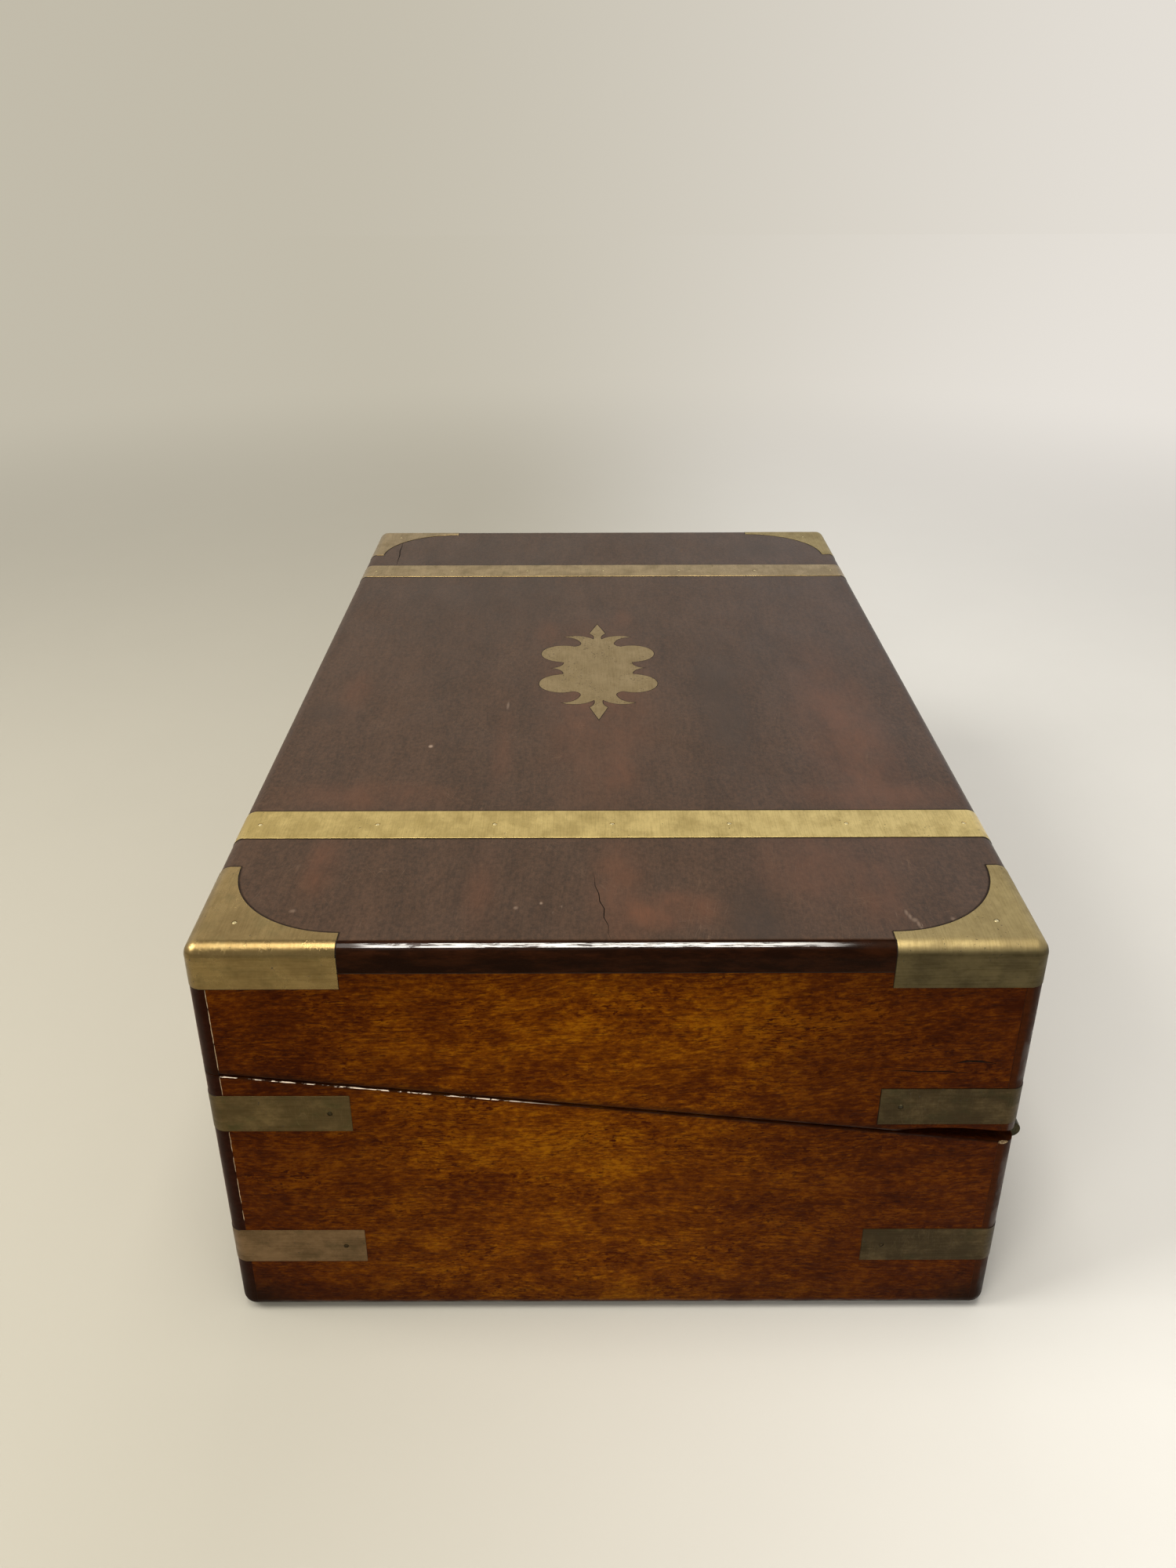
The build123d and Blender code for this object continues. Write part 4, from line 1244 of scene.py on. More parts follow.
@dataclass(frozen=True)
class BrokenRim:
    """The lid's thin edge that has broken away under its front strap at the left end."""

    outside: float = -206.0
    inside: float = -197.5
    low: float = 70.0
    top: tuple[tuple[float, float], ...] = (
        (-84.0, 78.2), (-88.0, 79.2), (-93.0, 79.9), (-100.0, 80.3), (-108.0, 80.1),
        (-116.0, 79.2), (-127.0, 78.3),
    )
    step: float = 1.2
    levels: int = 6
    slump: float = 0.6
    lean: float = 1.5
    raggedness: float = 1.6

    def height(self, y: float) -> float:
        """Upper limit of the break.

        Args:
            y: Where along the left end, in millimetres.

        Returns:
            The limit's height.
        """
        for (near, low), (far, high) in zip(self.top, self.top[1:], strict=False):
            if far <= y <= near:
                return low + (high - low) * (near - y) / (near - far)
        return self.top[-1][1]

    def cutter(self) -> bmesh.types.BMesh:
        """Make the ragged block that cuts it.

        Returns:
            The block's mesh.
        """
        shape = bmesh.new()
        rows = []
        first, last = self.top[0][0], self.top[-1][0]
        for number in range(round((first - last) / self.step) + 1):
            y = first - number * self.step
            high = self.height(y)
            row = [Vector((self.outside, y, self.low)), Vector((self.outside, y, high))]
            for level in range(self.levels):
                share = level / (self.levels - 1)
                z = high + (self.low - high) * share * self.slump
                ragged = noise.noise(Vector((y * 0.45, z * 0.7, 3.0))) * self.raggedness
                row.append(Vector((self.inside + ragged - share * self.lean, y, z)))
            row.append(Vector((self.inside - self.lean, y, self.low)))
            rows.append([shape.verts.new(corner * MM) for corner in row])
        return loft(shape, rows)


@dataclass(frozen=True)
class Arris:
    """The arris along the rim of the left end, which hands have worn round."""

    width: float
    outside: float = -204.9
    reach: float = 0.4

    def holds(self, middle: Vector) -> bool:
        """Whether an edge with this middle, in metres, is part of it."""
        x, y, z = middle / MM
        return x < self.outside and abs(PLAN.over_rim(y, z)) < self.reach


@dataclass(frozen=True)
class Foot:
    """The lowest arris round the box, which has rubbed on tables."""

    width: float
    corner_radius: float = 4.5
    slack: float = 0.1
    level: float = 0.05

    def holds(self, middle: Vector) -> bool:
        """Whether an edge is part of it.

        Args:
            middle: The edge's middle, in metres.

        Returns:
            Whether it is.
        """
        x, y = PLAN.length / 2 - abs(middle.x) / MM, PLAN.depth / 2 - abs(middle.y) / MM
        radius = self.corner_radius
        corner = math.hypot(max(radius - x, 0.0), max(radius - y, 0.0)) > radius - self.slack
        return middle.z < self.level * MM and (x < self.slack or y < self.slack or corner)


# ---------------------------------------------------------------- the bench


@dataclass
class Bench:
    """Where pieces are made: it recuts copies of the frame's nodes and fits new ones."""

    frame: Mapping[str, Any]
    sharp: float = 32.0
    smooth: float = 28.0
    hole_side: float = 0.4
    weld: float = 0.002
    flat: float = 0.4
    face_weight: int = 50
    arris_segments: int = 3
    made: dict[Finish, bpy.types.Material] = field(default_factory=dict)

    def __post_init__(self) -> None:
        """Look up each node's body and material slot."""
        record = self.frame["record"]
        bodies = record["behaviour"]["bodies"]
        self.body_of = {node: body for body, nodes in bodies.items() for node in nodes}
        self.slot_of = {part["node"]: part["material_slot"] for part in record["subparts"]}

    def material(self, finish: Finish) -> bpy.types.Material:
        """A finish's material, which is built once."""
        if finish not in self.made:
            self.made[finish] = finish.build()
        return self.made[finish]

    def finish(self, finish: Finish, *nodes: str) -> None:
        """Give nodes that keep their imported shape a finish.

        Args:
            finish: The finish.
            nodes: The nodes' names.
        """
        for name in nodes:
            materials = self.frame["nodes"][name].data.materials
            if not materials:
                materials.append(None)
            for number in range(len(materials)):
                materials[number] = self.material(finish)
            log.info("%s keeps its shape, in %s", name, finish.name)

    def blank(self, node: str) -> bmesh.types.BMesh:
        """Copy of a node's mesh with its corners joined and its flat faces whole.

        Args:
            node: The node's name.

        Returns:
            The copy.
        """
        mesh = self.frame["nodes"][node].data
        shape = bmesh.new()
        corners = [shape.verts.new(corner.co) for corner in mesh.vertices]
        for polygon in mesh.polygons:
            face = [corners[number] for number in polygon.vertices]
            if len(set(face)) == len(face) and not shape.faces.get(face):
                shape.faces.new(face)
        bmesh.ops.remove_doubles(shape, verts=shape.verts, dist=self.weld * MM)
        bmesh.ops.dissolve_degenerate(shape, edges=shape.edges, dist=self.weld * MM)
        bmesh.ops.dissolve_limit(
            shape,
            angle_limit=math.radians(self.flat),
            use_dissolve_boundaries=False,
            verts=shape.verts,
            edges=shape.edges,
        )
        return shape

    def ease(
        self,
        shape: bmesh.types.BMesh,
        width: float,
        chosen: Callable[[Vector], bool] = lambda middle: True,
        soiled_from: float = math.inf,
        tiny: bool = False,
    ) -> None:
        """Round a shape's sharp edges, apart from the short ones round its pin holes.

        Args:
            shape: The shape, which is changed.
            width: How wide the rounding is, in millimetres.
            chosen: Picks edges by their middle, in metres.
            soiled_from: Depth under the box's surface from which the rounding is dirty.
            tiny: Whether its short edges are rounded too, as a pin's are.
        """
        edges = [
            edge
            for edge in shape.edges
            if edge.is_manifold and edge.calc_face_angle(0.0) > math.radians(self.sharp)
            and (tiny or edge.calc_length() > self.hole_side * MM)
            and chosen((edge.verts[0].co + edge.verts[1].co) / 2)
        ]
        made = bmesh.ops.bevel(
            shape, geom=edges, offset=width * MM, offset_type="OFFSET",
            segments=self.arris_segments, profile=0.5, affect="EDGES", clamp_overlap=True,
        )
        for face in made["faces"]:
            if PLAN.depth_under(face.calc_center_median()) > soiled_from:
                face.material_index = 1

    def recut(
        self,
        node: str,
        finish: Finish,
        ease: float = 0.25,
        cuts: Sequence[Split | Chip | BrokenRim] = (),
        broken: Finish = SHADED_OLD_BREAK,
        soiled_from: float = math.inf,
        worn: Sequence[Arris | Foot] = (),
        tiny: bool = False,
    ) -> bpy.types.Object:
        """Make a piece in place of a node, with eased edges and its damage cut in.

        Args:
            node: The node's name.
            finish: The piece's finish.
            ease: How far its sharp edges are eased, in millimetres.
            cuts: Cracks, chips and breaks.
            broken: Finish of the faces that they lay bare.
            soiled_from: Depth from which the eased edges are dirty.
            worn: Edges that are worn rounder than the rest.
            tiny: Whether the piece is as small as a pin.

        Returns:
            The piece.
        """
        shape = self.blank(node)
        for part in worn:
            self.ease(shape, part.width, part.holds)
        self.ease(shape, ease, soiled_from=soiled_from, tiny=tiny)
        slot = self.slot_of[node]
        piece = self.fit(f"{node}_worn", shape, finish, self.body_of[node], slot, (node,))
        if soiled_from < math.inf:
            piece.data.materials.append(self.material(SOIL))
        for cut in cuts:
            self.cut(piece, cut.cutter(), self.material(broken))
        return piece

    def cut(
        self, piece: bpy.types.Object, tool: bmesh.types.BMesh, bare: bpy.types.Material
    ) -> None:
        """Cut a tool's shape out of a piece.

        Args:
            piece: The piece, whose mesh is replaced.
            tool: The tool's shape, which is used up.
            bare: Material of the faces that it lays bare.
        """
        cutter = self.solid("tool", tool, bare)
        change = piece.modifiers.new("cut", "BOOLEAN")
        change.object = cutter
        change.solver = "EXACT"
        change.material_mode = "TRANSFER"
        seen = bpy.context.evaluated_depsgraph_get()
        old = piece.data
        made = bpy.data.meshes.new_from_object(piece.evaluated_get(seen), depsgraph=seen)
        piece.modifiers.remove(change)
        piece.data = made
        made.name = piece.name
        waste = cutter.data
        bpy.data.objects.remove(cutter)
        for mesh in (waste, old):
            bpy.data.meshes.remove(mesh)
        self.smooth_off(piece)

    def smooth_off(self, piece: bpy.types.Object) -> None:
        """Shade a piece smoothly, apart from its sharp edges."""
        piece.data.shade_smooth()
        piece.data.set_sharp_from_angle(angle=math.radians(self.smooth))

    @staticmethod
    def solid(
        name: str, shape: bmesh.types.BMesh, finish: bpy.types.Material
    ) -> bpy.types.Object:
        """Turn a closed shape into an object of the scene.

        Args:
            name: The object's name.
            shape: Its shape in metres, which is used up.
            finish: Its material.

        Returns:
            The object.
        """
        bmesh.ops.recalc_face_normals(shape, faces=shape.faces)
        mesh = bpy.data.meshes.new(name)
        shape.to_mesh(mesh)
        shape.free()
        mesh.materials.append(finish)
        made = bpy.data.objects.new(name, mesh)
        bpy.context.scene.collection.objects.link(made)
        return made

    def fit(
        self,
        name: str,
        shape: bmesh.types.BMesh,
        finish: Finish,
        body: str,
        slot: str | None = None,
        replaces: Sequence[str] = (),
    ) -> bpy.types.Object:
        """Make a piece and let it ride on its body.

        Args:
            name: The piece's name.
            shape: Its shape in metres, which is used up.
            finish: Its finish.
            body: The body that it rides on.
            slot: The record's slot; not used.
            replaces: Nodes that it stands for.

        Returns:
            The piece.
        """
        piece = self.solid(name, shape, self.material(finish))
        self.smooth_off(piece)
        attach(piece, body)
        if replaces:
            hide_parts(*replaces)
        log.info("%s is made, in %s", name, finish.name)
        return piece

    def settle(self, pieces: Sequence[bpy.types.Object]) -> None:
        """Weigh the normals of finished pieces by their faces, so that flats stay flat.

        Args:
            pieces: The pieces.
        """
        for piece in pieces:
            weigh = piece.modifiers.new("flats", "WEIGHTED_NORMAL")
            weigh.keep_sharp = True
            weigh.weight = self.face_weight


# ---------------------------------------------------------------- sub-assemblies


@dataclass
class Assembly:
    """A group of the box's pieces, which are made at the bench."""

    bench: Bench

    def build(self) -> list[bpy.types.Object]:
        """Make the group's new pieces."""
        raise NotImplementedError


@dataclass
class Case(Assembly):
    """The base: its four boards, its bottom, and the glue that shows in its corners."""

    soiled_from: float = 0.06
    arris: Arris = Arris(0.5)
    foot: Foot = Foot(1.7)
    lip: float = 5.5
    glue_width: float = 0.32
    glue_proud: float = 0.03
    glue_deep: float = 0.4
    glue_step: float = 0.8
    glue_wander: float = 0.12
    chip: Chip = Chip((-205.3, -121.4, 74.1), (1.2, 2.2, 0.6), 4.0)
    corner_chip: Chip = Chip((-205.6, -124.9, 73.2), (1.1, 1.0, 1.2), 7.0)
    low_glue: tuple[tuple[float, float], ...] = (
        (101.0, 93.7), (79.2, 71.0), (69.0, 62.5), (60.0, 49.0), (46.0, 41.5),
    )
    high_glue: tuple[tuple[float, float], ...] = ((133.2, 126.5), (126.0, 113.5), (113.0, 103.4))

    def build(self) -> list[bpy.types.Object]:
        """Make the base's pieces.

        Returns:
            The pieces.
        """
        dirt = {"soiled_from": self.soiled_from, "broken": BARE_WOOD}
        boards = (
            ("base_front_board", FRONT_BOARDS, (self.chip, self.corner_chip), (self.foot,)),
            ("base_back_board", BACK_BOARDS, (), (self.foot,)),
            ("base_left_end", ENDS, (self.chip,), (self.arris, self.foot)),
            ("base_right_end", ENDS, (), (self.foot,)),
        )
        self.bench.finish(LINING, "base_bottom_board")
        return [
            *(self.bench.recut(n, look, cuts=c, worn=w, **dirt) for n, look, c, w in boards),
            self.glue_line("base_glue_line", self.low_glue, "base"),
            self.glue_line("lid_glue_line", self.high_glue, "lid"),
        ]

    def glue_line(
        self, name: str, runs: Sequence[tuple[float, float]], body: str
    ) -> bpy.types.Object:
        """Old glue squeezed out between the back board's lip and the left end.

        Args:
            name: The piece's name.
            runs: Upper and lower limit of each run, in millimetres.
            body: The body that it rides on.

        Returns:
            The piece.
        """
        shape = bmesh.new()
        seam = PLAN.depth / 2 - self.lip
        front, back = -PLAN.length / 2 - self.glue_proud, -PLAN.length / 2 + self.glue_deep
        for high, low in runs:
            count = max(round((high - low) / self.glue_step), 3)
            rows = []
            for number in range(count + 1):
                z = high + (low - high) * number / count
                ragged = noise.noise(Vector((z * 0.9, 1.3, 5.0)))
                taper = min(1.0, 0.15 + 2.0 * min(number, count - number) / 3)
                half = self.glue_width / 2 * (0.75 + 0.5 * ragged) * taper
                y = seam + noise.noise(Vector((z * 0.35, 7.0, 2.0))) * self.glue_wander
                rows.append([
                    shape.verts.new(Vector((x, y + side * half, z)) * MM)
                    for x, side in ((back, -1), (front, -0.6), (front, 0.6), (back, 1))
                ])
            loft(shape, rows)
        return self.bench.fit(name, shape, GLUE, body)


@dataclass
class Lid(Assembly):
    """The lid: its top with two cracks, and its four boards with their splits and broken rim."""

    soiled_from: float = 0.06
    recess_ease: float = 0.32
    arris: Arris = Arris(1.2)
    cracks: tuple[Split, ...] = (
        Split(
            Face.TOP,
            ((-164.0, 6.6), (-168.0, 6.0), (-172.2, 5.9), (-176.5, 4.8), (-181.0, 4.5),
             (-185.0, 3.2), (-189.6, 3.4), (-194.0, 2.1), (-198.0, 2.2), (-201.6, 1.4)),
            0.3,
        ),
        Split(
            Face.TOP,
            ((184.0, 110.2), (176.0, 109.6), (168.0, 109.7), (160.0, 108.8), (152.0, 108.7),
             (143.5, 108.3)),
            0.5,
        ),
    )
    end_splits: tuple[Split, ...] = (
        Split(
            Face.LEFT_END,
            ((-80.5, 102.6), (-86.0, 102.9), (-92.0, 102.4), (-98.0, 102.5), (-103.0, 102.0),
             (-108.0, 102.2)),
            0.45,
            1.2,
        ),
        Split(
            Face.LEFT_END,
            ((-101.5, 105.5), (-105.5, 106.4), (-109.5, 106.3), (-114.5, 105.4)),
            0.7,
            1.4,
        ),
    )
    broken: BrokenRim = BrokenRim()

    def build(self) -> list[bpy.types.Object]:
        """Make the lid's pieces.

        Returns:
            The pieces.
        """
        recut, dirt = self.bench.recut, {"soiled_from": self.soiled_from}
        damage = (*self.end_splits, self.broken)
        return [
            recut("lid_top_board", TOP, self.recess_ease, self.cracks, soiled_from=0.0),
            recut("lid_left_end", ENDS, cuts=damage, worn=(self.arris,), **dirt),
            recut("lid_front_board", FRONT_BOARDS, cuts=(self.broken,), **dirt),
            recut("lid_back_board", BACK_BOARDS, **dirt),
            recut("lid_right_end", ENDS, **dirt),
        ]


@dataclass
class Binding(Assembly):
    """Straps, brackets, inlay and the pins that hold them."""

    ease: float = 0.16
    inlay_ease: float = 0.12
    pin_ease: float = 0.4

    def build(self) -> list[bpy.types.Object]:
        """Make the binding's pieces.

        Returns:
            The pieces.
        """
        looks = {
            "left_top_strap": LIT_NEAR_STRAP,
            "left_back_corner": LID_BRASS,
            "left_front_corner": SHADED_DULL_CORNER,
            "right_top_strap": LID_BRASS,
            "right_back_corner": LID_BRASS,
            "right_front_corner": SHADED_DULL_CORNER,
        }
        for end in ("left", "right"):
            looks |= {f"{end}_back_upper_strap": CASE_BRASS, f"{end}_back_lower_strap": LOW_BRASS}
            looks |= {f"{end}_front_{part}_strap": FRONT_BRASS for part in ("upper", "lower")}
        looks |= {"top_inlay": INLAY_BRASS, "keyhole_escutcheon": LID_BRASS}
        eases = {"top_inlay": self.inlay_ease}
        pieces = [
            self.bench.recut(node, finish, eases.get(node, self.ease), soiled_from=0.0)
            for node, finish in looks.items()
        ]
        for node, finish in {"lid_strap_pins": PINS, "base_strap_pins": FRONT_BRASS}.items():
            pieces.append(self.bench.recut(node, finish, self.pin_ease, tiny=True))
        return pieces


@dataclass
class Screws(Assembly):
    """Slotted countersunk screws of the main hinges and the lock."""

    head_radius: float = 2.2
    head_depth: float = 1.2
    taper: float = 0.3
    shank_radius: float = 1.1
    tip_radius: float = 0.22
    length: float = 8.0
    sides: int = 24
    rim_half_gap: float = 0.15
    leaf_line: float = 7.6
    lock_line: float = 244.48
    leaf_places: tuple[float, ...] = (154.0, 169.0, 184.0)
    lock_place: float = 23.0
    slot_half: float = 0.3
    slot_depth: float = 0.55
    first_turn: float = 37.0
    turn_step: float = 71.0
    side_turn: float = 20.0

    def build(self) -> list[bpy.types.Object]:
        """Make both groups.

        Returns:
            The pieces.
        """
        return [self.group("base", -1), self.group("lid", 1)]

    def group(self, body: str, side: int) -> bpy.types.Object:
        """Screws of one half of the rim, each with its slot turned as it came.

        Args:
            body: The body that they ride on.
            side: 1 for the lid's, -1 for the base's.

        Returns:
            The piece.
        """
        shape = bmesh.new()
        places = [(end * x, self.leaf_line) for end in (-1, 1) for x in self.leaf_places]
        places += [(end * self.lock_place, self.lock_line) for end in (-1, 1)]
        for number, (x, along) in enumerate(places):
            turn = self.first_turn + self.turn_step * number + self.side_turn * side
            self.add_screw(shape, x, along, side, math.radians(turn))
        node = f"{body}_screws"
        return self.bench.fit(f"{node}_slotted", shape, STEEL, body, "steel", (node,))

    def add_screw(
        self, shape: bmesh.types.BMesh, x: float, along: float, side: int, turn: float
    ) -> None:
        """Add one screw with a slot in its head.

        Args:
            shape: What it is added to.
            x: Its place along the box.
            along: Its place up the slope.
            side: 1 for the lid's, -1 for the base's.
            turn: How its slot lies, in radians.
        """

        def ring(outline: Sequence[tuple[float, float]], down: float) -> Ring:
            """Corners of an outline that lies across the screw.

            Args:
                outline: Places across the head, in millimetres.
                down: How far down the screw it lies.

            Returns:
                The corners.
            """
            cosine, sine = math.cos(turn), math.sin(turn)
            out = side * (self.rim_half_gap + down)
            return [
                shape.verts.new(PLAN.rim_point(
                    x + u * cosine - v * sine, along + u * sine + v * cosine, out
                ))
                for u, v in outline
            ]

        edge = math.asin(self.slot_half / self.head_radius)
        steps = self.sides // 2
        angles = [edge + (math.pi - 2 * edge) * number / steps for number in range(steps + 1)]
        for half in (1, -1):
            arc = [
                (self.head_radius * math.cos(a), half * self.head_radius * math.sin(a))
                for a in angles
            ]
            loft(shape, [ring(arc, 0.0), ring(arc, self.slot_depth)])
        levels = (
            (self.head_radius, self.slot_depth), (self.shank_radius, self.head_depth + self.taper),
            (self.shank_radius, self.length), (self.tip_radius, self.length),
        )
        loft(shape, [ring(circle(radius, self.sides), down) for radius, down in levels])


@dataclass
class Hardware(Assembly):
    """Main hinges, flap hinges and lock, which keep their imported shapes."""

    def build(self) -> list[bpy.types.Object]:
        """Finish the nodes.

        Returns:
            No new piece.
        """
        parts = ("hinge_base_leaf", "hinge_lid_leaf", "hinge_pin")
        leaves = ("hinge_leaves", "moving_leaves")
        looks = {
            HINGE_BRASS: [f"{end}_{part}" for end in ("left", "right") for part in parts],
            HARDWARE: ["lock_case", "lock_face_plate", "link_plate", "flap_turn_button"]
            + [f"{half}_flap_{leaf}" for half in ("base", "lid") for leaf in leaves],
            STEEL: ["lock_bolt"],
        }
        for finish, nodes in looks.items():
            self.bench.finish(finish, *nodes)
        return []


@dataclass
class WritingFlap(Assembly):
    """One writing flap: its board, its ledges and its leather."""

    half: str
    side: int
    far: float
    sink: float = 1.25
    leather: float = 0.8
    ease: float = 0.3
    cell: float = 3.0
    edge_turn: float = 0.2
    cockle: float = 0.1
    lumps: float = 0.08
    ripples: float = 0.03

    def build(self) -> list[bpy.types.Object]:
        """Make the flap's pieces.

        Returns:
            The pieces.
        """
        panel = self.bench.recut(f"{self.half}_flap_panel", FLAP, self.ease)
        self.bench.finish(LINING, f"{self.half}_flap_ledges")
        hide = TooledLeather(f"writing_leather_{self.half}", 60.0, far=self.far)
        node = f"{self.half}_flap_leather"
        wide, long = self.spans()
        shape = slab_shape(round(wide / self.cell), round(long / self.cell), self.leather_point)
        body = f"{self.half}_flap"
        sheet = self.bench.fit(f"{node}_tooled", shape, hide, body, "writing_leather", (node,))
        return [panel, sheet]

    def spans(self) -> tuple[float, float]:
        """The leather's length along the box and its width up the slope."""
        return 2 * PLAN.leather_half_length, self.far - PLAN.leather_near

    def leather_point(self, u: float, v: float, upper: bool) -> Vector:
        """Where a point of the leather lies: its face is faintly cockled, its back is flat.

        Args:
            u: Its share of the way along the box.
            v: Its share of the way up the slope.
            upper: Whether it is on the leather's face.

        Returns:
            The point, in metres.
        """
        wide, long = self.spans()
        x, along = wide * (u - 0.5), PLAN.leather_near + long * v
        if not upper:
            return PLAN.rim_point(x, along, self.side * (self.sink + self.leather))
        lump = noise.noise(Vector((x * 0.02, along * 0.025, 4.0 + self.side)))
        ripple = noise.noise(Vector((x * 0.09, along * 0.07, 9.0 + self.side)))
        sunk = self.sink + self.cockle + self.lumps * lump + self.ripples * ripple
        if min(min(u, 1 - u) * wide, min(v, 1 - v) * long) < self.cell / 2:
            sunk += self.edge_turn
        return PLAN.rim_point(x, along, self.side * sunk)


@dataclass
class PenSection(Assembly):
    """Pen floor, divider, partitions, tray, and two square bottles with turned brass caps."""

    eases: tuple[tuple[str, Finish, float], ...] = (
        ("pen_section_divider", FLAP, 0.3),
        ("inkwell_dividers", FLAP, 0.4),
        ("pen_tray", LINING, 0.4),
    )
    bottle_x: float = 170.0
    bottle_y: float = 87.0
    cap_bottom: float = 80.0
    cap_sides: int = 64
    cap_profile: tuple[tuple[float, float], ...] = (
        (0.0, 7.5), (12.2, 7.5), (12.2, 0.0), (14.3, 0.0), (15.0, 0.5), (15.0, 1.4), (14.6, 1.7),
        (14.6, 2.3), (15.0, 2.6), (15.0, 5.2), (14.6, 5.5), (14.6, 6.0), (14.9, 6.3), (14.7, 7.4),
        (13.9, 8.4), (12.6, 9.1), (11.4, 9.35), (10.9, 9.1), (10.3, 9.1), (9.8, 9.4), (5.0, 9.5),
        (4.6, 9.3), (4.2, 9.45), (0.0, 9.5),
    )

    def build(self) -> list[bpy.types.Object]:
        """Make the pen section's pieces.

        Returns:
            The pieces.
        """
        pieces = [self.bench.recut(node, finish, ease) for node, finish, ease in self.eases]
        self.bench.finish(LINING, "pen_section_floor")
        for end, sign in (("left", -1), ("right", 1)):
            self.bench.finish(GLASS, f"{end}_inkwell_bottle")
            cap = turned_shape(self.cap_profile, self.cap_sides)
            middle = Vector((sign * self.bottle_x, self.bottle_y, self.cap_bottom)) * MM
            bmesh.ops.translate(cap, verts=cap.verts, vec=middle)
            name, slot = f"{end}_inkwell_cap", "hardware_brass"
            pieces.append(self.bench.fit(f"{name}_turned", cap, HARDWARE, "base", slot, (name,)))
        return pieces


@dataclass
class Underside(Assembly):
    """The baize that the box stands on, with a soft, slightly fretted edge."""

    half_x: float = 198.0
    half_y: float = 118.0
    thick: float = 1.0
    cell: float = 4.0
    fray: float = 0.8
    nap: float = 0.12

    def build(self) -> list[bpy.types.Object]:
        """Make the baize.

        Returns:
            The piece.
        """
        wide, long = 2 * self.half_x, 2 * self.half_y
        shape = slab_shape(round(wide / self.cell), round(long / self.cell), self.point)
        name, node = "underside_baize_cloth", "underside_baize"
        baize = self.bench.fit(name, shape, BAIZE, "base", "green_baize", (node,))
        return [baize]

    def point(self, u: float, v: float, upper: bool) -> Vector:
        """Where a point of the cloth lies.

        Args:
            u: Its share of the way along the box.
            v: Its share of the way across the box.
            upper: Whether it is on the glued face.

        Returns:
            The point, in metres.
        """
        x, y = (2 * u - 1) * self.half_x, (2 * v - 1) * self.half_y
        frayed = self.fray * (0.5 + 0.5 * noise.noise(Vector((x * 0.12, y * 0.12, 2.0))))
        if u in (0.0, 1.0):
            x -= math.copysign(frayed, x)
        if v in (0.0, 1.0):
            y -= math.copysign(frayed, y)
        low = self.nap * (0.5 + 0.5 * noise.noise(Vector((x * 0.2, y * 0.2, 8.0))))
        return Vector((x, y, self.thick if upper else low)) * MM


# ---------------------------------------------------------------- studio


WARM = (1.0, 0.955, 0.87)
FAIR = (1.0, 0.965, 0.90)


@dataclass(frozen=True)
class Lamp:
    """Soft lamp that the camera doesn't see: its place, aim and size are in millimetres."""

    name: str
    at: Point
    to: Point
    size: tuple[float, float]
    glow: float
    tint: Colour
    mirrored: bool = True

    def hang(self) -> None:
        """Hang it, with the brightness of its face as its glow."""
        light = bpy.data.lights.new(self.name, "AREA")
        light.shape = "RECTANGLE"
        light.size, light.size_y = (side * MM for side in self.size)
        light.energy = math.pi * light.size * light.size_y * self.glow
        light.color = self.tint
        lamp = bpy.data.objects.new(self.name, light)
        lamp.location = Vector(self.at) * MM
        lamp.visible_camera = False
        lamp.visible_glossy = self.mirrored
        lamp.rotation_mode = "QUATERNION"
        lamp.rotation_quaternion = (Vector(self.to) - Vector(self.at)).to_track_quat("-Z", "X")
        bpy.context.scene.collection.objects.link(lamp)


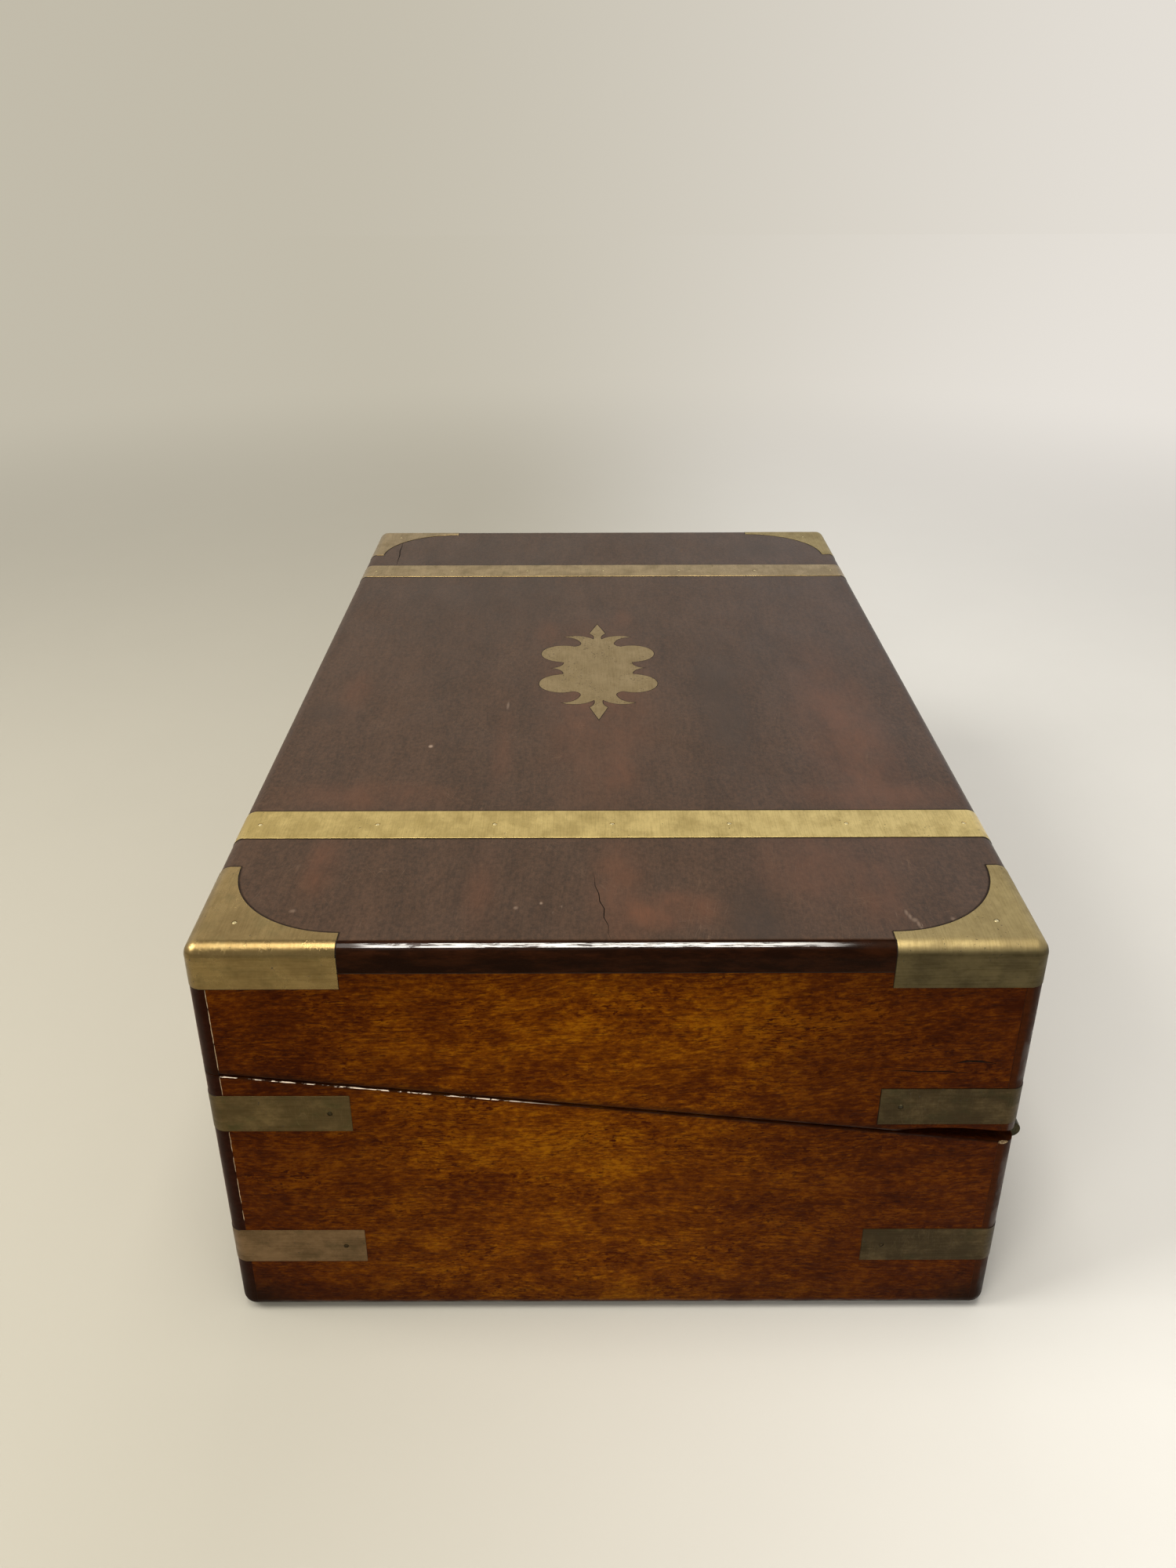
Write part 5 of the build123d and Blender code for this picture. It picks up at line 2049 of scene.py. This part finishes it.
@dataclass
class Studio:
    """A pale floor, soft lamps, a pale sky, and the camera."""

    eye: Point = (-508.7, 7.7, 359.5)
    pitch: float = 27.628
    yaw: float = 0.047
    roll: float = -0.171
    lens: float = 29.577
    sensor: float = 36.0
    nearest: float = 10.0
    floor_half: float = 4000.0
    floor_gap: float = 0.05
    floor_shade: Colour = (0.424, 0.403, 0.343)
    window_lit_floor: Colour = (0.735, 0.727, 0.705)
    backdrop: Colour = (0.540, 0.500, 0.405)
    lit_backdrop: Colour = (0.810, 0.770, 0.715)
    sky_tint: Colour = (1.0, 0.975, 0.93)
    cool_gloss: Colour = (1.0, 1.0, 1.02)
    sky_light: float = 0.285
    window_glow: float = 0.70
    wall_glow: float = 0.5
    dark_ceiling: float = 0.13
    lamps: tuple[Lamp, ...] = (
        Lamp("over", (-410.0, 10.0, 1500.0), (-205.0, 10.0, 148.0), (840.0, 700.0), 8.0, WARM),
        Lamp("key", (-300.0, 950.0, 1000.0), (0.0, 0.0, 60.0), (650.0, 650.0), 9.2, FAIR),
        Lamp("fill", (-1100.0, 500.0, 700.0), (0.0, 0.0, 60.0), (600.0, 600.0), 5.4, WARM, False),
        Lamp("far", (1200.0, 0.0, 1050.0), (0.0, 0.0, 148.0), (1300.0, 520.0), 1.5, FAIR, False),
    )

    def build(self) -> None:
        """Set the studio up."""
        self.add_camera()
        self.add_floor()
        self.add_sky()
        for lamp in self.lamps:
            lamp.hang()

    def add_camera(self) -> None:
        """Place the camera by its eye point and its three angles."""
        pitch, yaw, roll = (math.radians(a) for a in (self.pitch, self.yaw, self.roll))
        ahead = Vector((
            math.cos(pitch) * math.cos(yaw), math.cos(pitch) * math.sin(yaw), -math.sin(pitch)
        ))
        right = ahead.cross(Vector((0.0, 0.0, 1.0))).normalized()
        up = right.cross(ahead)
        across = math.cos(roll) * right + math.sin(roll) * up
        over = -math.sin(roll) * right + math.cos(roll) * up
        camera = bpy.data.objects.new("camera", bpy.data.cameras.new("camera"))
        camera.data.lens = self.lens
        camera.data.sensor_width = self.sensor
        camera.data.clip_start = self.nearest * MM
        turn = Matrix((across, over, -ahead)).transposed().to_4x4()
        camera.matrix_world = Matrix.Translation(Vector(self.eye) * MM) @ turn
        bpy.context.scene.collection.objects.link(camera)
        bpy.context.scene.camera = camera

    def add_floor(self) -> None:
        """Lay the floor just under the box."""
        shape = bmesh.new()
        bmesh.ops.create_grid(shape, x_segments=1, y_segments=1, size=self.floor_half * MM)
        mesh = bpy.data.meshes.new("floor")
        shape.to_mesh(mesh)
        shape.free()
        mesh.materials.append(self.floor_finish())
        floor = bpy.data.objects.new("floor", mesh)
        floor.location.z = -self.floor_gap * MM
        bpy.context.scene.collection.objects.link(floor)

    def floor_finish(self) -> bpy.types.Material:
        """Matt floor with painted light, paler and cooler on the hinge side as if lit by a window,
        that passes into the backdrop's shade far off.

        Returns:
            The material.
        """
        tree = Tree("floor_cloth", 100.0)
        mottle = tree.cloud(60.0) * 0.03 + 0.985
        # Painted light: the floor is paler and cooler towards the hinge side.
        window_lit = tree.place.y.ease(150.0, -260.0)
        colour = tree.mix(window_lit, self.floor_shade, self.window_lit_floor) * mottle
        matt = tree.add("BsdfDiffuse", {"Color": colour})
        away = tree.place.length()
        far = tree.add("Emission", {"Color": self.shade(tree, tree.place.y / away)})
        share = away.ease(420.0, 1500.0) * tree.seen("Is Camera Ray", "Is Glossy Ray")
        tree.show(tree.add("MixShader", {0: share, 1: matt, 2: far}))
        return tree.material

    def shade(self, tree: Tree, bearing: Signal) -> Signal:
        """The backdrop's colour, with painted light making it paler towards the hinge side.

        Args:
            tree: The tree that shows it.
            bearing: How far to the back a direction points, from -1 to 1.

        Returns:
            The colour.
        """
        return tree.mix(bearing.ease(0.25, -0.55), self.backdrop, self.lit_backdrop)

    def add_sky(self) -> None:
        """Light the world softly: the eye sees the backdrop, gloss a window and a ceiling."""
        world = bpy.data.worlds.new("sky")
        bpy.context.scene.world = world
        tree = Tree("sky", owner=world)
        way = tree.coordinate("Generated")
        window = way.z.ease(0.08, 0.24) * way.z.ease(0.84, 0.58) * way.x.ease(-0.1, 0.25)
        glow = window * (self.window_glow - self.wall_glow)
        glow = glow + way.z.ease(0.9, 0.2) * (self.wall_glow - self.dark_ceiling)
        glow = glow.most(window * (self.window_glow - self.dark_ceiling)) + self.dark_ceiling
        tint = tree.mix(way.y.ease(0.04, -0.24), WARM, self.cool_gloss)
        gloss, light, shown = (
            tree.add("Background", {"Color": colour, "Strength": strength})
            for colour, strength in (
                (tint, glow), (self.sky_tint, self.sky_light), (self.shade(tree, way.y), 1.0)
            )
        )
        mirrored = tree.seen("Is Glossy Ray", "Is Transmission Ray")
        lit = tree.add("MixShader", {0: mirrored, 1: light, 2: gloss})
        tree.show(tree.add("MixShader", {0: tree.seen("Is Camera Ray"), 1: lit, 2: shown}), "World")


def main() -> None:
    """Build the studio and every sub-assembly."""
    logging.basicConfig(level=logging.INFO, format="%(name)s: %(message)s")
    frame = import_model()
    bpy.context.scene.view_settings.view_transform = "Standard"
    Studio().build()
    bench = Bench(frame)
    pieces = []
    for part in (
        Case(bench),
        Lid(bench),
        Binding(bench),
        Screws(bench),
        Hardware(bench),
        WritingFlap(bench, "base", -1, 168.2),
        WritingFlap(bench, "lid", 1, 225.4),
        PenSection(bench),
        Underside(bench),
    ):
        pieces += part.build()
    bench.settle(pieces)
    log.info("%d new pieces", len(pieces))


if __name__ == "__main__":
    main()
